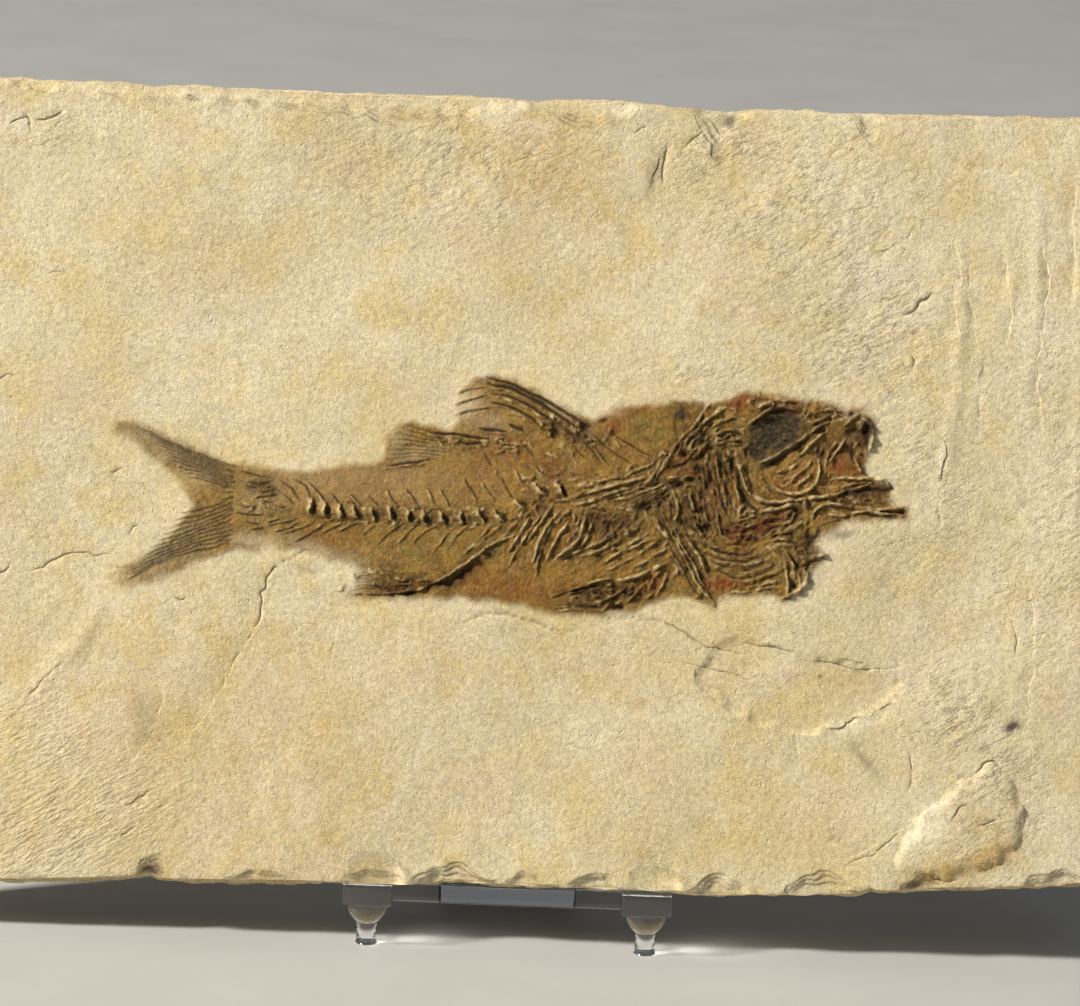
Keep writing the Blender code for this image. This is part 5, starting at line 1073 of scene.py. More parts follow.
def lay_stroke(fields, places, stroke, chance):
    """Raises or sinks one bone or furrow and colours it, with dirt and painted shade along a furrow
    and painted shadow on the bone's lower-right side.
    """
    height, bone, paleness, dirt_and_shade = fields
    u, v, bent_u, bent_v = places
    points, half, rise, tone, dirt_and_shade_beside = stroke
    half, rise = half * chance.uniform(0.85, 1.2), rise * chance.uniform(0.8, 1.2)
    which, away, along, side = near_line(bent_u, bent_v, smooth_line(points, 0.7), half + 0.4)
    if not len(which):
        return
    waver = 1.0 + (0.2 if rise < 0 else 0.65) * noise(u[which], v[which], 1.3, 25)
    reach = half * np.maximum(waver, 0.35) * tapered(along, 0.4, 3.0)
    body = bounded(1.0 - away / reach)
    profile = body * (2.0 - body)
    if rise < 0:
        height[which] += rise * profile
        # Dirt and painted shade along the furrow
        dirt_and_shade[which] = np.maximum(dirt_and_shade[which], dirt_and_shade_beside * np.minimum(1.0, body * 1.8))
        bone[which] *= 1.0 - 0.8 * body
        return
    worn = np.clip(0.8 + 1.1 * noise(u[which], v[which], 1.2, 33), 0.0, 1.4)
    lift = rise * profile * tapered(along, 0.4) * worn
    over = lift > height[which]
    height[which] = np.maximum(height[which], lift)
    new = np.minimum(1.0, profile * 1.2)
    shade = tone - 0.06 + 0.75 * noise(u[which], v[which], 1.3, 37)
    paleness[which] = np.where(over & (body > 0), shade, paleness[which])
    bone[which] = np.maximum(bone[which] * np.where(over, 1.0 - new, 1.0), new * over)
    # Painted shadow: dark colour on the bone's lower-right side, away from the key light, and only
    # a little on its other side
    (u0, v0), (u1, v1) = points[0], points[-1]
    shadow_side = side == (-1.0 if u1 - u0 + v1 - v0 > 0 else 1.0)
    rim = dirt_and_shade_beside * bounded(1.25 - (away - half * 0.8) / 0.36)
    rim *= (body <= 0.15) * tapered(along)
    uneven = bounded(0.7 + 0.8 * noise(u[which], v[which], 1.3, 39))
    rim *= np.where(shadow_side, 1.0, 0.15) * uneven
    height[which] -= 0.24 * rim
    dirt_and_shade[which] = np.maximum(dirt_and_shade[which] * (1.0 - new * over), rim)


def lay_vertebra(fields, places, vertebra, chance):
    """A worn crest that rises towards the sunk gap beside it, with a painted highlight towards its
    top and painted shade in the gap.
    """
    height, bone, paleness, dirt_and_shade = fields
    u, v, bent_u, bent_v = places
    centre, half, tall, along = vertebra
    bent_u = bent_u + 0.26 * noise(u, v, 0.8, 34)
    bent_v = bent_v + 0.3 * noise(u, v, 0.9, 35)
    x = (bent_u - centre[0]) * along[0] + (bent_v - centre[1]) * along[1]
    y = (bent_v - centre[1]) * along[0] - (bent_u - centre[0]) * along[1]
    x = x + chance.uniform(0.1, 0.4) * (y - 0.2)
    wide = bounded(1.0 - ((y - 0.15) / chance.uniform(0.95, 1.15)) ** 2)
    slope = bounded((x + 1.75) / 1.4) * (x < -half)
    crest = (0.1 + chance.uniform(0.6, 0.85) * slope ** 2.4) * wide * (x > -1.75) * (x < -half)
    over = crest > height
    np.maximum(height, crest, out=height)
    bone[over] = np.minimum(1.0, crest * 2.4)[over]
    # Painted highlight: paler towards the crest and towards its upper end
    paleness[over] = (0.5 + 0.6 * slope ** 3 + 0.12 * y)[over]
    pit = bounded(1.0 - (x / (half + 0.02)) ** 2 - ((y + 0.1) / tall) ** 2)
    height[pit > 0] = np.minimum(height, 0.1 - 0.5 * np.sqrt(pit))[pit > 0]
    dirt_and_shade *= np.where(over, 1.0 - 0.8 * np.minimum(1.0, crest * 3.0), 1.0)
    # Painted shade in the gap
    np.maximum(dirt_and_shade, np.minimum(1.0, 0.5 * np.sqrt(pit) + 0.8 * pit), out=dirt_and_shade)


def fish_relief(u, v):
    """Height of the fossil above the stone, and the shares of its colours, at many places."""
    outline = smooth_line(FISH_OUTLINE, 0.6, closed=True)
    within = inside(u, v, outline)
    depth = edge_distance(u, v, outline, 2.5) * np.where(within, 1.0, -1.0)
    ragged = 0.35 * noise(u, v, 2.0, 21) + 0.1 * noise(u, v, 0.6, 22)
    film = eased((depth + ragged + 0.45) / 1.2)
    film = film * (1.0 - bounded(patches(u, v, FAINT_FILM)))
    bent_u = u + 0.07 * noise(u, v, 0.9, 23) + 0.16 * noise(u, v, 2.6, 75)
    bent_v = v + 0.07 * noise(u, v, 0.9, 24) + 0.16 * noise(u, v, 2.6, 76)
    places = (u, v, bent_u, bent_v)
    fields = (np.zeros(len(u)), np.zeros(len(u)), np.full(len(u), 0.4), np.zeros(len(u)))
    chance = np.random.default_rng(5)
    for stroke in fish_strokes():
        lay_stroke(fields, places, stroke, chance)
    for vertebra in vertebrae():
        lay_vertebra(fields, places, vertebra, chance)
    height, bone, paleness, dirt_and_shade = fields
    way = bone_direction(u, v)
    matted = bounded(patches(u, v, FIBRE_ZONES))
    fibres = drawn_fibres(u, v, way, 0.36, 0.6, 71)
    crumple = 1.0 - 1.6 * np.abs(drawn_fibres(bent_u, bent_v, way, 0.8, 0.35, 72))
    matted = matted * np.clip(0.55 + 0.8 * noise(u, v, 2.2, 73), 0.05, 1.2)
    height += film * (0.08 + matted) * (0.11 * fibres + 0.17 * np.clip(crumple, -0.8, 1.0))
    height += film * matted * 0.2 * noise(u, v, 1.9, 74)
    dark = patches(bent_u, bent_v, DARK_SPOTS)
    ash = patches(u, v, ASH_PATCHES)
    # The dark spots sink and darken the film; along the anal spine's lower side this is painted
    # shadow
    height -= 0.4 * bounded(dark) + 0.3 * bounded(ash - 0.3)
    dirt_and_shade = np.maximum(dirt_and_shade, bounded(dark * (1.0 + 0.7 * noise(u, v, 0.7, 26))))
    height += film * (0.05 + 0.04 * noise(u, v, 1.4, 27) + 0.025 * noise(u, v, 0.42, 29))
    fade = eased((depth + 1.2) / 1.2)
    mottle = np.clip(0.75 + 0.55 * noise(u, v, 1.5, 30) + 0.45 * noise(u, v, 0.6, 32), 0.05, 1.6)
    colours = {"film": film, "bone": bone * fade, "paleness": paleness, "dirt_and_shade": dirt_and_shade * fade,
               "rust": patches(bent_u, bent_v, RUST_PATCHES) * mottle,
               "olive": patches(u, v, OLIVE_PATCHES) * mottle,
               "umber": patches(bent_u, bent_v, UMBER_PATCHES) * mottle,
               "ochre": patches(u, v, OCHRE_PATCHES) * mottle,
               "ash": eased(1.7 * ash * (0.6 + 0.4 * mottle))}
    return height * fade, colours


def fish_fields():
    """The fossil's relief and colours on a grid, with painted shade in the hollows and a painted
    highlight on the crests.
    """
    us, vs = grid_places(GRID_STEP)
    height, colours = fish_relief(us.ravel(), vs.ravel())
    height = height.reshape(us.shape)
    fields = {name: values.reshape(us.shape) for name, values in colours.items()}
    # Painted shade: darker in the hollows of the relief
    hollow_shade = bounded((softened(height, 0.32) - height) / 0.1 - 0.1)
    wide_hollow_shade = bounded((softened(height, 0.8) - height) / 0.22 - 0.25)
    # Painted highlight: the crests of the relief are made paler and bonier below
    crest = bounded((height - softened(height, 0.4)) / 0.12 - 0.2)
    matted = read_grid(softened(fields["umber"] + 0.6 * fields["bone"], 0.8), us, vs)
    share = fields["film"] * bounded(0.25 + matted)
    fields["dirt_and_shade"] = np.maximum(fields["dirt_and_shade"], share * bounded(hollow_shade + wide_hollow_shade))
    fields["bone"] = np.maximum(fields["bone"], 0.75 * crest * share)
    fields["paleness"] = fields["paleness"] + 0.35 * crest - 0.45 * fields["umber"]
    fields["bone"] = fields["bone"] * (1.0 - 0.4 * bounded(fields["umber"]))
    return height, {name: bounded(field) for name, field in fields.items()}


# Meshes

def spread_points(outline, step, seed):
    """Unevenly spread places inside an outline, about one step apart."""
    low, high = outline.min(axis=0), outline.max(axis=0)
    row = step * math.sqrt(0.75)
    us, vs = np.meshgrid(np.arange(low[0], high[0], step), np.arange(low[1], high[1], row))
    us[1::2] += step / 2
    shake = np.random.default_rng(seed).uniform(-0.22, 0.22, (2, us.size)) * step
    us, vs = us.ravel() + shake[0], vs.ravel() + shake[1]
    keep = inside(us, vs, outline)
    return np.column_stack([us[keep], vs[keep]])


def clear_of(points, lines, reach):
    """The points that stay a reach away from every line."""
    free = np.ones(len(points), bool)
    for line in lines:
        free[near_line(points[:, 0], points[:, 1], line, reach)[0]] = False
    return points[free]


def closed_ring(outline):
    """An outline that ends where it begins."""
    return np.vstack([outline, outline[:1]])


def right_of(way):
    """Steps of one millimetre, square to each direction and to its right."""
    return np.column_stack([way[:, 1], -way[:, 0]]) / np.hypot(*way.T)[:, None]


def line_rows(lines):
    """Rows of points along each line and close beside it, so that its edge stays sharp."""
    rows = []
    for line in lines:
        across = right_of(np.gradient(line, axis=0))
        rows += [line - across * offset for offset in LINE_ROWS]
    return np.vstack(rows)


def triangulate(rings, loose):
    """Points, faces and sources of the triangles inside the first ring, each ring an edge."""
    edges, start = [], 0
    for ring in rings:
        count = len(ring)
        edges += [(start + n, start + (n + 1) % count) for n in range(count)]
        start += count
    points = np.vstack([*rings, loose])
    spots = [Vector(point) for point in points.tolist()]
    made, _, faces, sources, _, _ = delaunay_2d_cdt(spots, edges, [], 1, 0)
    made = np.array([tuple(p) for p in made])
    faces = np.array([face for face in faces if len(face) == 3])
    a, b, c = (made[faces[:, n]] for n in range(3))
    turned = (b[:, 0] - a[:, 0]) * (c[:, 1] - a[:, 1]) < (b[:, 1] - a[:, 1]) * (c[:, 0] - a[:, 0])
    faces[turned] = faces[turned][:, ::-1]
    sources = np.array([source[0] if source else -1 for source in sources])
    return made, faces, sources


def ring_ids(sources, first, count):
    """Where a ring's points ended up among the made points."""
    place = np.full(first + count, -1)
    known = (sources >= 0) & (sources < first + count)
    place[sources[known]] = np.flatnonzero(known)
    return place[first:first + count]


def bridge(upper, lower):
    """Quads between two rings of ids, facing out when the rings run counter-clockwise."""
    nxt = np.roll(np.arange(len(upper)), -1)
    return np.column_stack([upper, lower, lower[nxt], upper[nxt]])


def placed(name, data):
    """An object of the scene for a mesh, a light or a camera."""
    item = bpy.data.objects.new(name, data)
    bpy.context.collection.objects.link(item)
    return item


def build_piece(name, points, faces, marks, finish, crease):
    """A smooth-shaded mesh from face-frame points, with its marks as attributes."""
    data = bpy.data.meshes.new(name)
    data.from_pydata(points.tolist(), [], [face.tolist() for part in faces for face in part])
    used = np.zeros(len(points), bool)
    for part in faces:
        used[part.ravel()] = True
    for mark, values in marks.items():
        layer = data.attributes.new(mark, "FLOAT", "POINT")
        layer.data.foreach_set("value", np.ascontiguousarray(values, dtype=np.float32))
    if not used.all():
        mesh = bmesh.new()
        mesh.from_mesh(data)
        loose = [vert for vert in mesh.verts if not vert.link_faces]
        bmesh.ops.delete(mesh, geom=loose, context="VERTS")
        mesh.to_mesh(data)
        mesh.free()
    data.transform(FACE_TO_WORLD)
    data.shade_smooth()
    data.set_sharp_from_angle(angle=math.radians(crease))
    data.materials.append(finish)
    return placed(name, data)


def outward(ring):
    """The way out of a counter-clockwise ring at each of its points."""
    return right_of(np.roll(ring, -1, axis=0) - np.roll(ring, 1, axis=0))


def rim_outline():
    """The slab's broken outline at the face, finely notched."""
    ring = smooth_line(SLAB_OUTLINE, RIM_STEP, closed=True)
    out = outward(ring)
    u, v = ring.T
    notch = 0.06 * noise(u, v, 5.0, 41) + 0.04 * noise(u, v, 1.2, 42)
    notch -= 0.16 * bounded(noise(u, v, 2.6, 43) - 0.2)
    return above_shelf(ring + out * notch[:, None]), out


def side_rows(ring, out, top):
    """Rings of points down the broken sides, where each thin bed stands out or back on its own.

    They start below the height of the face at its rim.
    """
    u, v = ring.T
    rows, last = [], 0.0
    for number, depth in enumerate(BEDS):
        spread = np.interp(depth, *np.array(SIDE_PROFILE).T)
        spread = spread + 0.24 * noise(u, v, 7.0, 50 + number)
        spread += 0.16 * noise(u, v, 2.2, 80 + number)
        spread += 0.1 * noise(u, v, 0.9, 110 + number)
        waver = 0.12 * noise(u, v, 9.0, 140 + number)
        for w in (last + SEAM, depth - SEAM):
            height = np.minimum(-w - waver, top - 0.02 - 0.1 * w)
            rows.append(np.column_stack([ring + out * spread[:, None], height]))
        last = depth
    rows[-1][:, 2] = -THICKNESS
    return [above_shelf(row) for row in rows]


def back_height(u, v):
    """The split back, with two shallow areas where beds have come away."""
    height = -THICKNESS + 0.1 + 0.09 * noise(u, v, 9.0, 61) + 0.07 * noise(u, v, 3.4, 62)
    for outline, rise in zip(BACK_LEDGES, BACK_RISES):
        ring = smooth_line(outline[:-1], 2.0, closed=True)
        depth = edge_distance(u, v, ring, 4.0) + 1.2 * noise(u, v, 5.0, 63)
        steps = 0.6 * eased(depth / 0.5) + 0.4 * eased((depth - 1.5) / 0.5)
        height += rise * inside(u, v, ring) * steps
    return height


def face_lines():
    """Every crack, torn edge and bed edge of the face, along which the mesh has its own rows."""
    lines = [smooth_line(points, LINE_STEP) for points, _, _ in CRACKS]
    for points in [line for line, _ in chip_edges()] + [points for points, _, _ in LEDGES]:
        line = smooth_line(points, LINE_STEP)
        lines.append(2.0 * line - np.column_stack(jagged(*line.T)))
    return lines + [smooth_line(outline, LINE_STEP, closed=True) for outline, _, _ in FACE_BEDS]


def face_points(rim, loop):
    """Places over the face around the fish: rows along its lines, and a field between them."""
    lines = face_lines()
    rows = line_rows(lines)
    rows = rows[inside(*rows.T, rim) & ~inside(*rows.T, loop)]
    rows = clear_of(rows, [closed_ring(rim), closed_ring(loop)], 0.2)
    field = spread_points(rim, FACE_STEP, 3)
    field = field[~inside(*field.T, loop)]
    field = clear_of(field, [closed_ring(rim)], 0.3)
    field = clear_of(field, [closed_ring(loop)], 0.26)
    return np.vstack([rows, clear_of(field, lines, 0.4)])


def back_mesh(edge):
    """The back inside its edge: its points, its faces, and where the edge's points ended up."""
    ledge_lines = [smooth_line(outline, 0.9) for outline in BACK_LEDGES]
    loose = clear_of(spread_points(edge, BACK_STEP, 5), [closed_ring(edge)], 0.8)
    loose = np.vstack([clear_of(loose, ledge_lines, 0.8), line_rows(ledge_lines)])
    flat, faces, sources = triangulate([edge], loose)
    points = np.column_stack([flat, back_height(*flat.T)])
    return points, faces[:, ::-1], ring_ids(sources, 0, len(edge))


def slab_piece(finish, loop):
    """The split slab: its face with a sunk bed under the fish, its layered sides and its back."""
    rim, out = rim_outline()
    inner = loop - 0.15 * outward(loop)
    around = face_points(rim, loop)
    bed = clear_of(spread_points(inner, BED_STEP, 4), [closed_ring(inner)], 1.0)
    flat, faces, sources = triangulate([rim, loop, inner], np.vstack([around, bed]))
    first = len(rim) + len(loop)
    last = first + len(inner)
    height = stone_height(*flat.T)
    height[(sources >= first) & (sources < last) | (sources >= last + len(around))] = BED_FLOOR
    points = [np.column_stack([flat, height])]
    parts, count = [faces], len(flat)
    rim_ids = ring_ids(sources, 0, len(rim))
    upper = rim_ids
    sides = side_rows(rim, out, height[rim_ids])
    for row in sides:
        lower = np.arange(count, count + len(row))
        parts.append(bridge(upper, lower))
        points.append(row)
        upper, count = lower, count + len(row)
    behind, back_faces, edge_ids = back_mesh(sides[-1][:, :2])
    ids = np.arange(count, count + len(behind))
    ids[edge_ids] = upper
    parts.append(ids[back_faces])
    points = np.vstack([*points, behind])
    marks = stone_marks(*points[:, :2].T)
    broken = np.zeros(len(points))
    broken[len(flat):] = 1.0
    broken[rim_ids] = 0.6
    for name in marks:
        marks[name] = np.where(broken > 0.9, 0.0, marks[name])
    marks["broken"] = broken
    return build_piece("limestone_slab_split", points, parts, marks, finish, CREASE_SLAB)


def fish_piece(finish, loop):
    """The fossil with its margin of stone, closed below within the slab's bed."""
    outline = smooth_line(FISH_OUTLINE, 1.0, closed=True)
    fine = spread_points(loop, FISH_STEP, 6)
    near = inside(*fine.T, outline)
    near[near_line(*fine.T, closed_ring(outline), 0.45)[0]] = True
    fine = fine[near]
    margin = spread_points(loop, MARGIN_STEP, 7)
    margin = margin[~inside(*margin.T, outline)]
    margin = clear_of(margin, [closed_ring(outline)], 0.62)
    loose = clear_of(np.vstack([fine, margin]), [closed_ring(loop)], 0.16)
    flat, faces, sources = triangulate([loop], loose)
    relief, fields = fish_fields()
    colours = {name: read_grid(field, *flat.T) for name, field in fields.items()}
    points = [np.column_stack([flat, stone_height(*flat.T) + read_grid(relief, *flat.T)])]
    upper = ring_ids(sources, 0, len(loop))
    low = loop - 0.5 * outward(loop)
    lower = np.arange(len(flat), len(flat) + len(low))
    points.append(np.column_stack([low, np.full(len(low), FISH_UNDERSIDE)]))
    _, floor, floor_sources = triangulate([low], low[:0])
    floor = lower[floor_sources[floor]][:, ::-1]
    points = np.vstack(points)
    marks = {name: np.concatenate([values, np.zeros(len(low))]) for name, values in colours.items()}
    marks.update(stone_marks(*points[:, :2].T))
    marks["broken"] = np.zeros(len(points))
    parts = [faces, bridge(upper, lower), floor]
    return build_piece("fossil_fish_relief", points, parts, marks, finish, CREASE_FISH)


# The easel

def lean_profile(back, up):
    """A point given along the shelf and up the backrest, as world (back, up)."""
    return (back * math.cos(LEAN) + up * math.sin(LEAN),
            SHELF_HEIGHT + up * math.cos(LEAN) - back * math.sin(LEAN))


def prism(profile, half_width, top_rounding, edge_rounding):
    """A (back, up) profile drawn out sideways, its top corners rounded and its edges softened."""
    mesh = bmesh.new()
    ends = [[mesh.verts.new((side, back, up)) for back, up in profile]
            for side in (-half_width, half_width)]
    left, right = ends
    for number in range(len(profile)):
        mesh.faces.new((left[number - 1], left[number], right[number], right[number - 1]))
    for end in ends:
        mesh.faces.new(end)
    bmesh.ops.recalc_face_normals(mesh, faces=mesh.faces[:])
    top = max(vert.co.z for vert in mesh.verts) - PLATE / 2
    corners = [edge for edge in mesh.edges if all(vert.co.z > top for vert in edge.verts)
               and edge.verts[0].co.x == edge.verts[1].co.x]
    if top_rounding:
        bmesh.ops.bevel(mesh, geom=corners, offset=top_rounding, segments=8, profile=0.5,
                        affect="EDGES")
    sharp = [edge for edge in mesh.edges if edge.calc_face_angle(0.0) > math.radians(24)]
    bmesh.ops.bevel(mesh, geom=sharp, offset=edge_rounding, segments=3, profile=0.5, affect="EDGES")
    return mesh


def arm_mesh(centre):
    """A shelf arm with its upturned lip."""
    front, rear = -GAP - LIP, CROSSBAR[1] - 1.0
    profile = [lean_profile(*spot) for spot in (
        (front, -PLATE), (front, LIP_RISE), (-GAP, LIP_RISE), (-GAP, 0.0), (rear, 0.0),
        (rear, -PLATE))]
    mesh = prism(profile, ARM_WIDTH / 2, 1.6, EDGE_ROUNDING)
    bmesh.ops.translate(mesh, verts=mesh.verts[:], vec=(centre, 0, 0))
    return mesh


def backrest_mesh():
    """The backrest, its root between the arms and the rear foot, as one bent plate."""
    rest = THICKNESS + GAP
    rear, front, fillet, chamfer = rest + BACKREST_THICK, rest - 2.0, 2.0, 0.7
    reach = (SHELF_HEIGHT - PLATE * math.cos(LEAN)) / math.sin(LEAN)
    top_reach = (SHELF_HEIGHT - PLATE) / math.sin(LEAN)
    foot = [(FOOT_REAR - chamfer, 0.0), (FOOT_REAR, chamfer), (FOOT_REAR, PLATE - chamfer),
            (FOOT_REAR - chamfer, PLATE)]
    upper = [(top_reach, 0.0), (rear + fillet, 0.0), (rear, fillet), (rear, BACKREST),
             (rest, BACKREST), (rest, 0.0), (front, 0.0)]
    profile = [lean_profile(front, -PLATE), lean_profile(reach, -PLATE), *foot,
               *(lean_profile(*spot) for spot in upper)]
    return prism(profile, SPINE_WIDTH / 2, 6.0, EDGE_ROUNDING)


def crossbar_mesh():
    """The bar that joins the arms, sunk a hair below their faces."""
    front, rear = CROSSBAR
    top, bottom = -0.05, 0.05 - PLATE
    profile = [lean_profile(*spot) for spot in (
        (front, bottom), (front, top), (rear, top), (rear, bottom))]
    return prism(profile, ARM_U + ARM_WIDTH / 2 - 0.4, 0.0, 0.4)


def foot_mesh(centre, sides=48):
    """A domed boss with a short peg, turned round a vertical axis."""
    shoulder = math.acos(PEG_RADIUS / DOME_RADIUS)
    profile = [(0.0, DOME_Z + 0.9), (DOME_RADIUS, DOME_Z + 0.9)]
    profile += [(DOME_RADIUS * math.cos(turn), DOME_Z - DOME_RADIUS * math.sin(turn))
                for turn in (shoulder * part / 12 for part in range(13))]
    profile += [(PEG_RADIUS, 0.35), (PEG_RADIUS + 0.15, 0.12), (PEG_RADIUS + 0.05, 0.0), (0.0, 0.0)]
    mesh = bmesh.new()
    rings = []
    for radius, height in profile:
        turns = [math.tau * side / sides for side in range(sides if radius else 1)]
        rings.append([mesh.verts.new((centre + radius * math.cos(turn),
                                      PEG_Y + radius * math.sin(turn), height)) for turn in turns])
    for upper, lower in zip(rings, rings[1:]):
        for side in range(sides):
            quad = [upper[side % len(upper)], upper[(side + 1) % len(upper)],
                    lower[(side + 1) % len(lower)], lower[side % len(lower)]]
            mesh.faces.new(list(dict.fromkeys(quad)))
    bmesh.ops.recalc_face_normals(mesh, faces=mesh.faces[:])
    return mesh


def blank_object(name, mesh):
    """One part of the moulding, before they are united."""
    data = bpy.data.meshes.new(name)
    mesh.to_mesh(data)
    mesh.free()
    return placed(name, data)


def easel_piece(finish):
    """One clear moulding, united from its backrest, crossbar, two arms and two feet."""
    easel = blank_object("clear_easel", backrest_mesh())
    blanks = [blank_object("crossbar_blank", crossbar_mesh())]
    for side in (-1, 1):
        blanks += [blank_object("arm_blank", arm_mesh(side * ARM_U)),
                   blank_object("foot_blank", foot_mesh(side * ARM_U))]
    for blank in blanks:
        change = easel.modifiers.new(blank.name, "BOOLEAN")
        change.operation, change.solver, change.object = "UNION", "EXACT", blank
    bpy.context.view_layer.update()
    graph = bpy.context.evaluated_depsgraph_get()
    united = bpy.data.meshes.new_from_object(easel.evaluated_get(graph))
    easel.modifiers.clear()
    easel.data = united
    for blank in blanks:
        bpy.data.objects.remove(blank, do_unlink=True)
    united.transform(over_easel(0) @ Matrix.Scale(MM, 4))
    united.shade_smooth()
    united.set_sharp_from_angle(angle=math.radians(CREASE_EASEL))
    united.materials.clear()
    united.materials.append(finish)
    return easel


# Materials

def add(tree, kind, values=(), **settings):
    """A node with its settings, and its inputs set or linked by name."""
    node = tree.nodes.new(kind)
    for setting, value in settings.items():
        setattr(node, setting, value)
    for socket, value in dict(values).items():
        if isinstance(value, bpy.types.NodeSocket):
            tree.links.new(value, node.inputs[socket])
        else:
            node.inputs[socket].default_value = value
    return node


def texture(tree, place, scale, detail=3.0, rough=0.5, stretch=None, seed=0.0):
    """A noise texture's value, its lumps one over the scale millimetres wide."""
    if stretch or seed:
        place = add(tree, "ShaderNodeMapping", values={
            "Vector": place, "Scale": stretch or (1, 1, 1),
            "Location": (seed, seed, seed)}).outputs[0]
    node = add(tree, "ShaderNodeTexNoise", values={
        "Vector": place, "Scale": scale, "Detail": detail, "Roughness": rough})
    return node.outputs["Factor"] if "Factor" in node.outputs else node.outputs[0]


def ramp(tree, value, low, high, to_low=0.0, to_high=1.0):
    """A value's stretch from low to high, mapped smoothly to another one."""
    return add(tree, "ShaderNodeMapRange", values={
        "Value": value, "From Min": low, "From Max": high, "To Min": to_low, "To Max": to_high},
        interpolation_type="SMOOTHSTEP").outputs[0]


def times(tree, a, b):
    """The product of two values."""
    return add(tree, "ShaderNodeMath", {0: a, 1: b}, operation="MULTIPLY").outputs[0]


def plus(tree, a, b):
    """The sum of two values."""
    return add(tree, "ShaderNodeMath", {0: a, 1: b}, operation="ADD").outputs[0]


def blend_colour(tree, share, below, above, blend="MIX"):
    """Two colours mixed by a share."""
    values = {0: share, 6: below, 7: above}
    for socket, value in values.items():
        if isinstance(value, tuple):
            values[socket] = (*value, 1.0)
    node = add(tree, "ShaderNodeMix", values=values, data_type="RGBA", blend_type=blend,
               clamp_factor=True)
    return node.outputs[2]


def mark(tree, name):
    """The share of a stain or substance that the mesh carries at each point."""
    return add(tree, "ShaderNodeAttribute", attribute_name=name).outputs["Fac"]


def new_group(name, sockets_in, sockets_out):
    """A shader node group, what it is given and what it gives out."""
    group = bpy.data.node_groups.new(name, "ShaderNodeTree")
    for socket, kind in sockets_in:
        group.interface.new_socket(name=socket, in_out="INPUT", socket_type=kind)
    for socket, kind in sockets_out:
        group.interface.new_socket(name=socket, in_out="OUTPUT", socket_type=kind)
    given, result = group.nodes.new("NodeGroupInput"), group.nodes.new("NodeGroupOutput")
    return group, given.outputs, result.inputs


STONE_MARKS = ("Stain", "Brown", "Pale", "Crack", "Broken", "Rough", "Combed")

# Clouds of colour in the stone: colour, strength, then scale, detail, roughness and seed, and
# the stretch of the noise over which they show
STONE_CLOUDS = (
    (STONE_YELLOW, 0.7, 0.14, 5.0, 0.66, 31.0, 0.48, 0.66),
    (STONE_PINK, 0.6, 0.11, 4.0, 0.62, 67.0, 0.5, 0.68),
    (STONE_GREY, 0.5, 0.2, 5.0, 0.66, 35.0, 0.52, 0.7),
    (STONE_TAN, 0.46, 0.5, 3.0, 0.6, 13.0, 0.58, 0.74))


def turned(tree, place, degrees):
    """The place turned within the face."""
    return add(tree, "ShaderNodeVectorRotate", rotation_type="Z_AXIS", values={
        "Vector": place, "Angle": math.radians(degrees)}).outputs[0]


